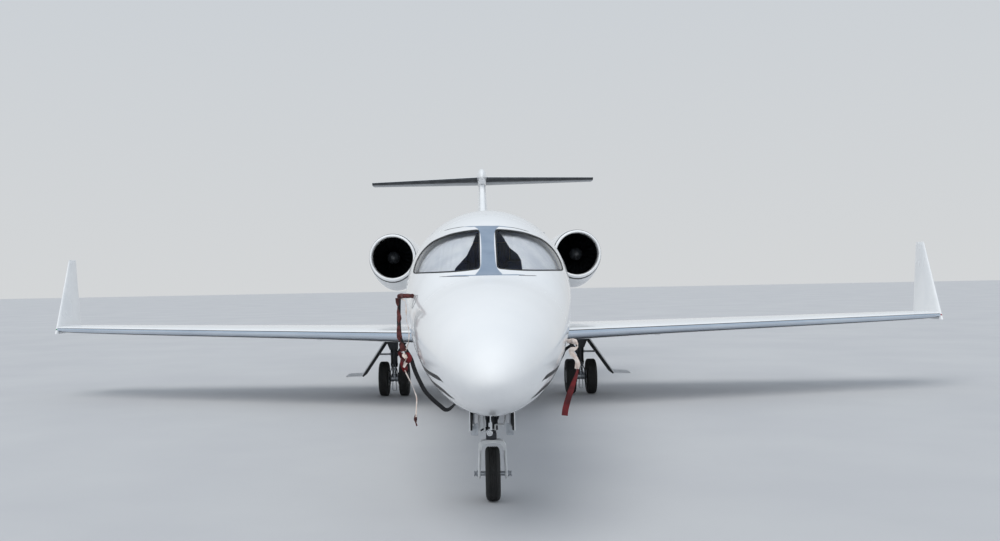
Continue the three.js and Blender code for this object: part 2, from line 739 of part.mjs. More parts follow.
const armX = ng.arm;
const armHalf = ng.armThick / 2;
const arms = [-1, 1].map((s) => join([
  box([s * armX - armHalf, noseY - 38, 190], [s * armX + armHalf, noseY + 38, 520]),
  bar([s * (armX - armHalf), noseY, axleZ], [s * ng.lug, noseY, axleZ], 26),
]));
const fork = join([
  bar([0, noseY, 500], [0, noseY, 600], 40),
  box([-armX - armHalf, noseY - 60, 480], [armX + armHalf, noseY + 60, 522]),
  bar([-armX, noseY, axleZ], [armX, noseY, axleZ], ng.axle),
  ...arms,
]);
add('nose_fork', fork, 'steel');
function addWheel(hubName, tyreName, gear, x, station) {
  const hub = hubProfile(gear.width * 0.8, gear.rim, gear.axle + BORE);
  const tyre = tyreProfile(gear.width, gear.rim, gear.tyre);
  add(hubName, wheelOf(hub, x, y(station), gear.tyre, WHEEL_SIDES), 'steel');
  add(tyreName, wheelOf(tyre, x, y(station), gear.tyre, WHEEL_SIDES), 'black');
}
addWheel('nose_wheel_hub', 'nose_tyre', ng, 0, ng.station);

for (const [name, side] of SIDES) {
  const nd = NOSE_DOOR;
  const plate = box([nd.x, y(nd.front), nd.low], [nd.x + nd.thick, y(nd.back), 950]).subtract(bodySkin);
  add(`nose_gear_door_${name}`, onSide(plate, side), 'white');
}

// Main gear
const mg = MAIN_GEAR;
const mainY = y(mg.station);
const leg = join([
  bar([mg.x, mainY, 470], [mg.x, mainY, 1100], 58),
  bar([mg.x, mainY, 280], [mg.x, mainY, 480], 42),
  bar([mg.x - 60, mainY, mg.tyre], [mg.x + 60, mainY, mg.tyre], 55),
  bar([mg.x, mainY, 640], [mg.x - 300, mainY, 1100], 28),
  bar([mg.inner - 60, mainY, mg.tyre], [mg.outer + 60, mainY, mg.tyre], mg.axle),
  bar([mg.x, mainY, mg.rod], [1777, mainY, mg.rod], 16),
]).subtract(wingSkin).subtract(fairingSkin);
const DOOR_THICK = 14;
const doorLine = outlineOf([
  [1590, 1000],
  [2030, 356],
  [2290, 346],
  [2290, 346 - DOOR_THICK],
  [2022, 356 - DOOR_THICK],
  [1576, 990],
]);
const mainDoor = alongY(doorLine, mainY - 240, mainY + 240).subtract(wingSkin);
for (const [name, side] of SIDES) {
  add(`main_leg_${name}`, onSide(leg, side), 'dark');
  add(`main_gear_door_${name}`, onSide(mainDoor, side), 'white');
  for (const place of ['inner', 'outer']) {
    const x = side * mg[place];
    addWheel(`main_hub_${name}_${place}`, `main_tyre_${name}_${place}`, mg, x, mg.station);
  }
}

// Cabin furniture. A seat's back is on the side that backSide gives, 1 for aft.
function seat(x, station, backSide) {
  const at = y(station);
  const [near, far] = [at + backSide * SEAT.backNear, at + backSide * SEAT.backFar];
  return [
    box([x - SEAT.half, at - SEAT.half, SEAT.low], [x + SEAT.half, at + SEAT.half, SEAT.high]),
    box([x - SEAT.backHalf, Math.min(near, far), 1500], [x + SEAT.backHalf, Math.max(near, far), SEAT.top]),
    box([x - SEAT.footX, at - SEAT.footY, FLOOR + 20], [x + SEAT.footX, at + SEAT.footY, SEAT.low + 20]),
  ];
}
const rail = (x, front, back) => box([x - 140, y(front), FLOOR + GAP], [x + 140, y(back), FLOOR + 30]);
const crossRail = (x, front, back) => box([-x, y(front), FLOOR + GAP], [x, y(back), FLOOR + 30]);
const cabinSeats = join([
  ...SEAT.rows.flatMap(([station, backSide]) => [
    ...seat(-SEAT.x, station, backSide),
    ...seat(SEAT.x, station, backSide),
  ]),
  rail(-SEAT.x, 5200, 8150),
  rail(SEAT.x, 5200, 8150),
  crossRail(SEAT.x, 6640, 6760),
]);
add('cabin_seats', cabinSeats, 'seat');
const crewSeats = join([
  ...seat(-SEAT.crewX, SEAT.crew, 1),
  ...seat(SEAT.crewX, SEAT.crew, 1),
  crossRail(SEAT.crewX, SEAT.crew - 80, SEAT.crew + 80),
]);
add('crew_seats', crewSeats, 'seat');
const panel = box([-520, y(COCKPIT) + GAP, 1350], [520, y(2150), 1820]);
add('instrument_panel', panel.intersect(bodyPiece(COCKPIT, 3000, WALL + GAP)), 'dark');

// Covers over the air data probes: a mast out of the skin and a tube that points ahead
for (const [name, side] of SIDES) {
  const [station, z, reach, ahead, radius] = PROBE[name];
  const skin = skinX(station, z);
  const tip = [side * (skin + reach), y(station), z];
  const mast = bar([side * (skin - 30), y(station) + 20, z], tip, radius);
  const tube = bar([tip[0], tip[1] + radius, z], [tip[0], tip[1] - ahead, z], radius, radius * 0.8);
  add(`probe_cover_${name}`, mast.add(tube).subtract(bodySkin), 'red');
}

export default part;
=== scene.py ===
import math

import bmesh
import bpy
import numpy as np
from mathutils import Matrix, Vector


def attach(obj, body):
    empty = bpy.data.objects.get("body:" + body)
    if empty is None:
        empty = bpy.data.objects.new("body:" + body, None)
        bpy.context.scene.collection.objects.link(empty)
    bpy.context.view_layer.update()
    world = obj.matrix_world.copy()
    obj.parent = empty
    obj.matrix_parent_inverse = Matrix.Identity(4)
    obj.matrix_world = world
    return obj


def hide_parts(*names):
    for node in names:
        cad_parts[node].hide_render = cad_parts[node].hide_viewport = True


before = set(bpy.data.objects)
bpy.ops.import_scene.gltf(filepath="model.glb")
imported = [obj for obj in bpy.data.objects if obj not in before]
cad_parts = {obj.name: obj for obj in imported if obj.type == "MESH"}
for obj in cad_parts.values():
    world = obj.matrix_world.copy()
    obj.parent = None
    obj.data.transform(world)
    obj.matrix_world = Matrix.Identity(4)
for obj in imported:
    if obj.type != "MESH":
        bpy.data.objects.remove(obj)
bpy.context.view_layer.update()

# Places are (x, station, height) in millimetres until a mesh is made. A station counts aft from the nose tip.
MID_LENGTH = 8840
SIDES = (("port", 1), ("starboard", -1))

# ---- camera, at the photograph's place ----
LENS_PX = 1013.3
PICTURE_WIDTH, PICTURE_HEIGHT = 1000, 541
CENTRE_PX = (412.07, 268.06)
SENSOR_MM = 36
CAMERA_PLACE = (-0.069, -15.587, 1.895)
CAMERA_TURNS = (-3.867, 0.662, -1.132)
yaw, pitch, roll = (math.radians(a) for a in CAMERA_TURNS)
level = Vector((math.cos(yaw), -math.sin(yaw), 0))
ahead = Vector((math.sin(yaw), math.cos(yaw), 0))
look = ahead * math.cos(pitch) + Vector((0, 0, math.sin(pitch)))
rise = Vector((0, 0, math.cos(pitch))) - ahead * math.sin(pitch)
right = level * math.cos(roll) + rise * math.sin(roll)
upward = rise * math.cos(roll) - level * math.sin(roll)
camera_data = bpy.data.cameras.new("camera")
camera_data.sensor_width = SENSOR_MM
camera_data.lens = LENS_PX * SENSOR_MM / PICTURE_WIDTH
camera_data.shift_x = 0.5 - CENTRE_PX[0] / PICTURE_WIDTH
camera_data.shift_y = (CENTRE_PX[1] - PICTURE_HEIGHT / 2) / PICTURE_WIDTH
camera_data.clip_end = 400
camera = bpy.data.objects.new("camera", camera_data)
bpy.context.scene.collection.objects.link(camera)
camera.matrix_world = Matrix([(*row, place) for *row, place in zip(right, upward, -look, CAMERA_PLACE)]
                             + [(0, 0, 0, 1)])
bpy.context.scene.camera = camera

# ---- the airframe's tables, as in the solids; the nose's lower flank alone is a little fuller here ----
COCKPIT, DOOR_RING, CABIN, TAIL, TAIL_END = 1850, 3350, 4900, 9500, 16200
NOSE_ROUND = 60
DOOR_FRONT, DOOR_BACK, DOOR_LOW, DOOR_SPLIT, DOOR_HIGH = 4000, 4760, 1075, 1750, 2360
WINDOW_FIRST, WINDOW_PITCH, WINDOW_COUNT, WINDOW_Z = 5100, 530, 8, 2010
WING_ROOT, WING_TIP, TAIL_Z, FIN_ROOT, FIN_TOP = 700, 7190, 4093, 2100, 3963
ENGINE_X, ENGINE_Z = 1600, 2290
NOSE_STATION, NOSE_AXLE = 1950, 228.5
MAIN_STATION, MAIN_X, MAIN_AXLE = 9870, 1515, 280

# station, top, bottom, half width, height of the widest line, lower fullness
BODY = [
    [0, 1225, 1175, 30, 1200, 2], [60, 1320, 1100, 120, 1205, 2], [180, 1415, 1030, 212, 1220, 2],
    [400, 1520, 950, 312, 1250, 1.95], [700, 1630, 885, 415, 1290, 1.94],
    [1100, 1745, 838, 515, 1345, 1.95], [1500, 1840, 812, 592, 1400, 1.98],
    [1900, 1932, 795, 655, 1460, 1.95], [2400, 2170, 770, 722, 1540, 1.91],
    [2900, 2395, 746, 778, 1620, 1.86], [3400, 2535, 732, 820, 1680, 1.83],
    [3900, 2606, 723, 854, 1732, 1.88], [4200, 2620, 720, 860, 1740, 1.9],
    [9500, 2620, 720, 860, 1740, 1.9], [10500, 2615, 800, 835, 1765, 1.95],
    [12000, 2580, 1000, 730, 1830, 2], [13500, 2490, 1260, 550, 1900, 2],
    [15000, 2350, 1560, 330, 1970, 2], [16000, 2235, 1810, 150, 2025, 2],
    [TAIL_END, 2190, 1870, 105, 2030, 2],
]
FAIRING = [
    [6600, 1100, 740, 420, 900, 2], [7100, 1300, 660, 760, 980, 2.4], [7700, 1400, 615, 930, 1020, 2.6],
    [9000, 1420, 600, 975, 1040, 2.7], [10600, 1420, 610, 955, 1040, 2.6],
    [11500, 1400, 700, 800, 1070, 2.4], [12200, 1330, 900, 520, 1130, 2],
]
# span place, leading edge station, chord, height, thickness
WING = [
    [700, 7800, 3120, 1062, 270], [2400, 8320, 2560, 1093, 212], [6850, 9737, 1143, 1166, 137],
    [WING_TIP, 9845, 1035, 1176, 104],
]
STABILIZER = [[0, 15700, 1500, TAIL_Z, 165], [2540, 16640, 860, 4137, 84]]
PYLON = [[500, 11280, 1950, 2150, 170], [1300, 11280, 1950, 2200, 150]]
# height, x, leading edge station, chord, thickness
WINGLET = [
    [1140, 7195, 9815, 1095, 86], [1240, 7212, 9905, 1020, 80], [2370, 7400, 10900, 300, 34],
]
# height, leading edge station, trailing edge station, thickness
FIN = [[2100, 11500, 16060, 150], [2680, 12700, 16190, 200], [2860, 13500, 16240, 230], [FIN_TOP, 15560, 16820, 165]]
# station, half width, top, bottom
BULLET = [
    [15240, 12, 4112, 4062], [15420, 68, 4250, 3985], [15700, 105, 4318, 3950], [16500, 118, 4335, 3945],
    [17100, 92, 4310, 3975], [17560, 40, 4225, 4040], [17680, 12, 4150, 4090],
]
# station, half width, up, down
NACELLE = [
    [10800, 384, 384, 388], [10840, 400, 402, 412], [11000, 418, 420, 462], [11400, 437, 437, 550],
    [11900, 442, 442, 592], [12500, 440, 440, 560], [13100, 418, 420, 470], [13450, 385, 386, 396],
]
# square root of the chord fraction, share of the full thickness
AIRFOIL = [
    [0, 0], [0.1095, 0.36], [0.2236, 0.66], [0.3464, 0.86], [0.5292, 1], [0.7071, 0.88], [0.8485, 0.58], [1, 0.06],
]
# the starboard and port openings alike: distance from the middle, height
WINDSCREEN = [
    (70, 1976), (170, 1963), (300, 1953), (450, 1950), (700, 1950), (727, 1968), (722, 2040),
    (700, 2100), (655, 2175), (545, 2268), (355, 2330), (200, 2352), (70, 2360),
]


def between(table, column, at):
    """A smooth value between a table's rows, by the same monotone cubic steps as the solids."""
    rows = np.array(table, float)
    x, v = rows[:, 0], rows[:, column]
    slope = np.diff(v) / np.diff(x)
    a, b = slope[:-1], slope[1:]
    inner = np.where(a * b <= 0, 0, 2 * a * b / np.where(a + b == 0, 1, a + b))
    tangent = np.concatenate([slope[:1], inner, slope[-1:]])
    at = np.asarray(at, float)
    k = np.clip(np.searchsorted(x, at, side="right") - 1, 0, len(x) - 2)
    step = x[k + 1] - x[k]
    t = (at - x[k]) / step
    return (
        (2 * t**3 - 3 * t**2 + 1) * v[k] + (t**3 - 2 * t**2 + t) * step * tangent[k]
        + (3 * t**2 - 2 * t**3) * v[k + 1] + (t**3 - t**2) * step * tangent[k + 1]
    )


def look_up(table, at, *columns):
    """A table's smooth values in these columns, as plain numbers."""
    return [float(between(table, column, at)) for column in columns]


def unit(rows):
    """Each row brought to length 1."""
    return rows / np.linalg.norm(rows, axis=1)[:, None]


def circle(count):
    """Turns in radians at even steps of a full circle."""
    return np.linspace(0, 2 * math.pi, count, endpoint=False)


# ---- materials ----
def linear(text):
    """An sRGB hex colour as linear RGBA."""
    values = [int(text[i:i + 2], 16) / 255 for i in (1, 3, 5)]
    return [v / 12.92 if v <= 0.04045 else ((v + 0.055) / 1.055) ** 2.4 for v in values] + [1]


def add_node(tree, kind, settings=None, links=None):
    """Adds a node. Settings name its properties or input sockets, links name input sockets."""
    made = tree.nodes.new(kind)
    for key, value in (settings or {}).items():
        if isinstance(key, str) and hasattr(made, key):
            setattr(made, key, value)
        else:
            made.inputs[key].default_value = value
    for key, source in (links or {}).items():
        tree.links.new(source, made.inputs[key])
    return made


def coating(name, base, shade, patch, rough, spread=0.0, metal=0.0, grain=0.0, depth=0.0, **sockets):
    """A finish whose colour drifts from base to shade in patches, with a bump; patch, grain and depth in mm."""
    material = bpy.data.materials.new(name)
    material.use_nodes = True
    tree = material.node_tree
    shader = tree.nodes["Principled BSDF"]
    shader.inputs["Metallic"].default_value = metal
    for key, value in sockets.items():
        shader.inputs[key.replace("_", " ").title().replace("Ior", "IOR")].default_value = value
    where = add_node(tree, "ShaderNodeTexCoord").outputs["Object"]
    cloud = add_node(tree, "ShaderNodeTexNoise", {"Scale": 1000 / patch, "Detail": 4.0}, {"Vector": where})
    drift = add_node(tree, "ShaderNodeMapRange", {"From Min": 0.35, "From Max": 0.65}, {"Value": cloud.outputs["Fac"]})
    tint = add_node(tree, "ShaderNodeMix", {"data_type": "RGBA", 6: linear(base), 7: linear(shade)},
                    {0: drift.outputs["Result"]})
    tree.links.new(tint.outputs[2], shader.inputs["Base Color"])
    gloss = add_node(tree, "ShaderNodeMapRange", {"To Min": rough - spread, "To Max": rough + spread},
                     {"Value": drift.outputs["Result"]})
    tree.links.new(gloss.outputs["Result"], shader.inputs["Roughness"])
    if grain:
        fine = add_node(tree, "ShaderNodeTexNoise", {"Scale": 1000 / grain, "Detail": 3.0}, {"Vector": where})
        bump = add_node(tree, "ShaderNodeBump", {"Strength": 1.0, "Distance": depth / 1000},
                        {"Height": fine.outputs["Fac"]})
        tree.links.new(bump.outputs["Normal"], shader.inputs["Normal"])
    return material


# Polyurethane enamel, sprayed and polished: bright white with a clear gloss and a faint orange peel
WHITE_ENAMEL = coating("white_polyurethane_enamel", "#f4f5f6", "#eceef0", 900, 0.2, 0.03, grain=60, depth=0.05,
                       coat_weight=0.6, coat_roughness=0.05)
# The same enamel on bonded composite: a little softer in its gloss
COMPOSITE_ENAMEL = coating("white_enamel_on_composite", "#f1f2f3", "#e8eaec", 500, 0.26, 0.03, grain=40, depth=0.06,
                           coat_weight=0.4, coat_roughness=0.08)
# Slate blue enamel on the windscreen's centre post
SLATE_ENAMEL = coating("slate_enamel", "#8797ab", "#7c8da2", 160, 0.35, 0.03, coat_weight=0.3)
# Gloss black enamel of the stripes
BLACK_ENAMEL = coating("black_enamel", "#08090c", "#0e0f13", 200, 0.45, 0.04, specular_ior_level=0.15)
# Aluminium leading edge skins, polished by hand: bright, with faint long swirls; their pale blue tint is a painted
# reflection of the sky
POLISHED_ALUMINIUM_SKY_TINT = coating("polished_aluminium_painted_sky_tint", "#dde6f0", "#d0dae6", 900, 0.2, 0.02, 1.0)
# Machined and shot-peened aluminium fittings
# Cast and shot-peened aluminium fittings
CAST_ALUMINIUM = coating("cast_aluminium", "#b9bdc2", "#a2a7ad", 40, 0.42, 0.08, 0.9, grain=2, depth=0.05)
# Grey enamel under the tail plane, its grey a painted shade; it also draws the static port's faint outline. Dark
# rubber: the tail plane's leading edge boot, carried further back underneath as painted shade, and a painted shade band
# under the wing's leading edge
GREY_ENAMEL_AND_SHADE = coating("grey_enamel_and_painted_shade", "#7f8489", "#74797e", 400, 0.35, 0.04, coat_weight=0.2)
BOOT_RUBBER_AND_SHADE = coating("deicing_boot_and_painted_shade", "#3b3e42", "#2f3236", 150, 0.5, 0.06, grain=6, depth=0.05)
# Chromium plate on the oleo pistons
CHROME = coating("chromium_plate", "#e6e8ea", "#dcdfe2", 60, 0.07, 0.03, 1.0)
# Steel legs under a baked grey-black enamel that has chipped and dulled, and aluminium ones under a pale enamel; on the
# main legs' wide upper castings the grey-black is partly painted shade over the linkages behind them
GEAR_ENAMEL = coating("gear_leg_enamel", "#2b2e33", "#3a3d42", 50, 0.45, 0.1, 0.3, grain=6, depth=0.1)
LIGHT_GEAR_ENAMEL = coating("light_gear_enamel", "#e4e6e7", "#d3d6d8", 60, 0.35, 0.06, 0.0, grain=6, depth=0.08)
# Grey primer on the inner faces of the nose and tail skins
WELL_PAINT = coating("wheel_well_paint", "#6f7478", "#5c6064", 90, 0.6, 0.08, grain=9, depth=0.2)
# Vulcanised tread rubber: matt, dusty in patches
TYRE_RUBBER = coating("tyre_rubber", "#191a1b", "#2a2a29", 60, 0.82, 0.08, grain=3, depth=0.25)
# Moulded seals and hoses; the same black also paints the reflection of a dark horizon as a line along the wing's
# leading edge
BLACK_RUBBER_AND_REFLECTION = coating("black_rubber_and_painted_reflection", "#111214", "#1a1b1d", 30, 0.6, 0.08, grain=2, depth=0.1)
# Titanium and nickel alloy of the exhaust, heat-tinted, and the fan's titanium, painted dark as the shade deep in the
# intake
EXHAUST_ALLOY = coating("heat_tinted_exhaust_alloy", "#8a8178", "#5f5a5c", 110, 0.38, 0.08, 1.0, grain=14, depth=0.05)
FAN_TITANIUM_SHADE = coating("fan_titanium_painted_shade", "#33363a", "#26292d", 60, 0.34, 0.06, 1.0, grain=3, depth=0.02)
# Satin black enamel of the fan's spinner
SPINNER_ENAMEL = coating("spinner_enamel", "#232629", "#1b1d20", 50, 0.35, 0.05, coat_weight=0.2)
# Dark grey primer inside the wheel bays and on the doors' inner faces
BAY_PAINT = coating("wheel_bay_primer", "#24272a", "#191b1e", 90, 0.6, 0.08, grain=9, depth=0.2)
# Pressed lens of the taxi lamp
LAMP_LENS = coating("lamp_lens_glass", "#f4f6f8", "#e9edf2", 30, 0.08, 0.02, ior=1.5, grain=5, depth=0.3)
# Perforated liner of the intake duct, near black as painted shade deep in the intake
DUCT_LINER_SHADE = coating("intake_liner_painted_shade", "#0c0d0f", "#090a0b", 60, 0.6, 0.05, 0.0, grain=4, depth=0.2)
# Enamelled intake lip, whiter and glossier than the nacelle behind it
LIP_ENAMEL = coating("intake_lip_enamel", "#fbfbfc", "#f4f5f6", 200, 0.14, 0.03, coat_weight=0.8, coat_roughness=0.03)
# Stretched acrylic, very smooth: clear for the cockpit, tinted for the cabin
SCREEN_GLASS = coating("stretched_acrylic", "#fafcff", "#f6f9fd", 300, 0.02, 0.01, ior=1.07, transmission_weight=1.0)
CABIN_GLASS = coating("tinted_acrylic", "#3a4148", "#343b42", 300, 0.03, 0.01, ior=1.49, transmission_weight=1.0)
# The cockpit's trim: matt vinyl that keeps reflections off the panes, navy as a painted reflection of the blue sky in
# them
NAVY_TRIM_SKY_REFLECTION = coating("navy_trim_painted_sky_reflection", "#294b86", "#223f74", 160, 0.7, 0.06, grain=3, depth=0.15)
# Cabin side panels, bound in a fine pale cloth
LINER_CLOTH = coating("cabin_liner_cloth", "#d9d3c8", "#cec7ba", 40, 0.85, 0.05, grain=3, depth=0.2)
# Looped wool carpet, moulded trim plastic, dark vinyl, and leather: cream in the cabin, dark blue for the crew; the
# dark vinyl and the crew's leather are navy as a painted reflection of the sky in the windscreen
CARPET = coating("wool_carpet", "#4d535b", "#3d434a", 30, 0.95, 0.03, grain=4, depth=1.2)
PANEL_PLASTIC = coating("moulded_trim_plastic", "#8d8f90", "#838586", 120, 0.5, 0.06, grain=1.5, depth=0.05)
DARK_TRIM_SKY_REFLECTION = coating("dark_trim_painted_sky_reflection", "#152a52", "#182f5a", 90, 0.65, 0.06, grain=2, depth=0.1)
CREAM_LEATHER = coating("cream_leather", "#d3c5ad", "#c3b399", 180, 0.5, 0.06, grain=2.5, depth=0.12)
BLUE_LEATHER_SKY_REFLECTION = coating("blue_leather_painted_sky_reflection", "#23427a", "#1d386a", 160, 0.5, 0.06, grain=2.5, depth=0.12)
# Cover glass of the dark displays, and the lamps' coloured lenses
DISPLAY_GLASS = coating("display_glass", "#0a0d12", "#0d1117", 200, 0.08, 0.02)
RED_LENS = coating("red_lamp_lens", "#a81218", "#8f0d12", 30, 0.1, 0.03, coat_weight=0.5)
GREEN_LENS = coating("green_lamp_lens", "#0c7a42", "#0a6838", 30, 0.1, 0.03, coat_weight=0.5)
# Woven polyester with an aluminium coat: light silver grey, soft and a little shiny
SHADE_CLOTH = coating("metallised_shade_cloth", "#e6e5e3", "#cfd0d2", 260, 0.5, 0.1, grain=3, depth=0.1)
# Vinyl-coated red and maroon streamers and sleeves, faded and dusty
RED_CLOTH = coating("red_nylon_streamer", "#851219", "#4c0a0f", 90, 0.5, 0.08, grain=2, depth=0.15)
MAROON_CLOTH = coating("maroon_cover_cloth", "#6b3330", "#3c1f1f", 45, 0.7, 0.08, grain=2, depth=0.2)
# Unbleached cotton canvas, with handling marks
CANVAS_CLOTH = coating("cotton_canvas", "#f6ece4", "#dcc9be", 40, 0.85, 0.06, grain=2, depth=0.25)
# Nylon webbing, black with a close rib
BLACK_WEBBING = coating("black_nylon_webbing", "#141416", "#1f2023", 60, 0.6, 0.06, grain=2, depth=0.2)


# ---- shapes ----
class Form:
    """Points and faces that are gathered into one piece, with a finish number for each face."""

    def __init__(self):
        self.points, self.faces, self.finishes, self.count = [], [], [], 0

    def add(self, shape, finish=0, side=1):
        points, faces = shape
        points = np.array(points, float).reshape(-1, 3) * (side, 1, 1)
        order = 1 if side > 0 else -1
        self.points.append(points)
        self.faces += [tuple(int(i) + self.count for i in face)[::order] for face in faces]
        self.finishes += [finish] * len(faces)
        self.count += len(points)
        return self


def make(name, form, finishes, body="airframe", stands_for=(), sharp=35, wall=0.0, merge=0.01):
    """The piece as a Blender object, with its place in its mesh; wall in mm thickens a skin inwards."""
    if not isinstance(form, Form):
        form = Form().add(form)
    points = (np.concatenate(form.points) - (0, MID_LENGTH, 0)) / 1000
    mesh = bpy.data.meshes.new(name)
    mesh.from_pydata(points.tolist(), [], form.faces)
    for finish in finishes if isinstance(finishes, (list, tuple)) else [finishes]:
        mesh.materials.append(finish)
    mesh.polygons.foreach_set("material_index", form.finishes)
    tidy = bmesh.new()
    tidy.from_mesh(mesh)
    bmesh.ops.remove_doubles(tidy, verts=tidy.verts, dist=merge / 1000)
    bmesh.ops.dissolve_degenerate(tidy, edges=tidy.edges, dist=merge / 2000)
    tidy.to_mesh(mesh)
    tidy.free()
    piece = bpy.data.objects.new(name, mesh)
    bpy.context.scene.collection.objects.link(piece)
    if wall:
        shell = piece.modifiers.new("wall", "SOLIDIFY")
        shell.thickness = wall / 1000
        shell.offset = -1
        if len(mesh.materials) > 1:
            shell.material_offset = len(mesh.materials) - 1
        settle(piece)
    shade(piece, sharp)
    return carry(piece, body, stands_for)


def settle(piece):
    """Turns a piece with its modifiers into a plain mesh."""
    bpy.context.view_layer.update()
    plain = bpy.data.meshes.new_from_object(piece.evaluated_get(bpy.context.evaluated_depsgraph_get()))
    piece.modifiers.clear()
    piece.data = plain


def shade(piece, sharp):
    """Smooth shading, with edges past an angle in degrees kept sharp."""
    mesh = piece.data
    mesh.polygons.foreach_set("use_smooth", [True] * len(mesh.polygons))
    mesh.set_sharp_from_angle(angle=math.radians(sharp))
    mesh.update()


def carry(piece, body, stands_for=()):
    """Puts a piece on its body, and in place of its solids."""
    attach(piece, body)
    if stands_for:
        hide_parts(*([stands_for] if isinstance(stands_for, str) else stands_for))
    return piece


def grid(rows, columns, closed=False):
    """Quads over rows of points; closed joins the last column to the first."""
    r, c = np.meshgrid(np.arange(rows - 1), np.arange(columns if closed else columns - 1), indexing="ij")
    here, after = r.ravel() * columns, (r.ravel() + 1) * columns
    c, n = c.ravel(), (c.ravel() + 1) % columns
    return [tuple(q) for q in np.stack([here + c, here + n, after + n, after + c], 1)]


def loft(rings, ends=True):
    """A skin through closed rings of the same number of points, with flat ends."""
    rings = np.asarray(rings, float)
    count = rings.shape[1]
    faces = grid(len(rings), count, True)
    if ends:
        last = (len(rings) - 1) * count
        faces += [tuple(range(count))[::-1], tuple(range(last, last + count))]
    return rings.reshape(-1, 3), faces


def turned(profile, start, end, sides=32, ends=True):
    """A profile of (distance from start, radius) in mm turned about the line from start to end."""
    start, end = np.array(start, float), np.array(end, float)
    along = (end - start) / np.linalg.norm(end - start)
    across = np.cross(along, (0, 0, 1) if abs(along[2]) < 0.9 else (1, 0, 0))
    across /= np.linalg.norm(across)
    third = np.cross(along, across)
    turn = circle(sides)[:, None]
    round_line = np.cos(turn) * across + np.sin(turn) * third
    return loft([start + along * d + round_line * r for d, r in profile], ends)


def bar(start, end, radius, end_radius=None, sides=20, edge=None):
    """A round bar with eased ends."""
    length = float(np.linalg.norm(np.array(end, float) - np.array(start, float)))
    last = radius if end_radius is None else end_radius
    edge = min(radius, last, length / 2) * 0.15 if edge is None else edge
    return turned([(0, radius - edge), (edge, radius), (length - edge, last), (length, last - edge)], start, end, sides)


def tube(path, radius, sides=12):
    """A bent tube through a path of points."""
    path = smooth_path(path)
    tangent = unit(np.gradient(path, axis=0))
    side = np.cross(tangent[0], (0, 0, 1) if abs(tangent[0][2]) < 0.9 else (1, 0, 0))
    turn = circle(sides)[:, None]
    rings = []
    for point, t in zip(path, tangent):
        side = side - t * (side @ t)
        side /= np.linalg.norm(side)
        third = np.cross(t, side)
        rings.append(point + radius * (np.cos(turn) * side + np.sin(turn) * third))
    return loft(rings)


def smooth_path(points, steps=6):
    """A curve through points, by Catmull-Rom steps."""
    p = np.array(points, float)
    if len(p) < 3:
        return p
    padded = np.concatenate([[2 * p[0] - p[1]], p, [2 * p[-1] - p[-2]]])
    out = []
    for i in range(1, len(padded) - 2):
        a, b, c, d = padded[i - 1:i + 3]
        for t in np.linspace(0, 1, steps, endpoint=False):
            curve = 2 * b + (c - a) * t + (2 * a - 5 * b + 4 * c - d) * t**2 + (3 * b - a - 3 * c + d) * t**3
            out.append(0.5 * curve)
    return np.array(out + [p[-1]])


def block(low, high, ease=4.0, steps=2):
    """A box with rounded edges."""
    made = bmesh.new()
    low, high = np.array(low, float), np.array(high, float)
    bmesh.ops.create_cube(made, size=1)
    for v in made.verts:
        v.co = Vector(low + (np.array(v.co) + 0.5) * (high - low))
    ease = min(ease, 0.45 * float((high - low).min()))
    bmesh.ops.bevel(made, geom=made.edges[:], offset=ease, segments=steps, affect="EDGES", profile=0.5)
    made.verts.index_update()
    shape = [tuple(v.co) for v in made.verts], [tuple(v.index for v in f.verts) for f in made.faces]
    made.free()
    return shape


def corners(a0, b0, a1, b1):
    """The corners of a rectangle, in the order that an outline needs."""
    return [(a0, b0), (a1, b0), (a1, b1), (a0, b1)]


def rounded(corners, radius, steps=5):
    """A closed outline whose corners are turned into arcs."""
    p = np.array(corners, float)
    out = []
    for i in range(len(p)):
        before, here, after = p[i - 1], p[i], p[(i + 1) % len(p)]
        r = radius[i] if hasattr(radius, "__len__") else radius
        a = here + (before - here) * min(0.48, r / np.linalg.norm(before - here))
        b = here + (after - here) * min(0.48, r / np.linalg.norm(after - here))
        for t in np.linspace(0, 1, steps):
            out.append((1 - t) ** 2 * a + 2 * t * (1 - t) * here + t**2 * b)
    return np.array(out)


def prism(outline, low, high, axis=1, ease=0.0):
    """An outline run along one axis; its two numbers are the other axes in order."""
    outline = np.array(outline, float)
    others = [k for k in range(3) if k != axis]
    middle = outline.mean(0)
    levels = [(low, ease), (low + ease, 0), (high - ease, 0), (high, ease)] if ease else [(low, 0), (high, 0)]
    rings = []
    for level_at, shrink in levels:
        ring = np.zeros((len(outline), 3))
        away = outline - middle
        ring[:, others] = outline - away / np.maximum(np.linalg.norm(away, axis=1), 1e-6)[:, None] * shrink
        ring[:, axis] = level_at
        rings.append(ring)
    points, faces = loft(rings)
    area = 0.5 * float(np.sum(outline[:, 0] * np.roll(outline[:, 1], -1) - np.roll(outline[:, 0], -1) * outline[:, 1]))
    outward = area * (1 if axis != 1 else -1) > 0
    return points, [f if outward else f[::-1] for f in faces]


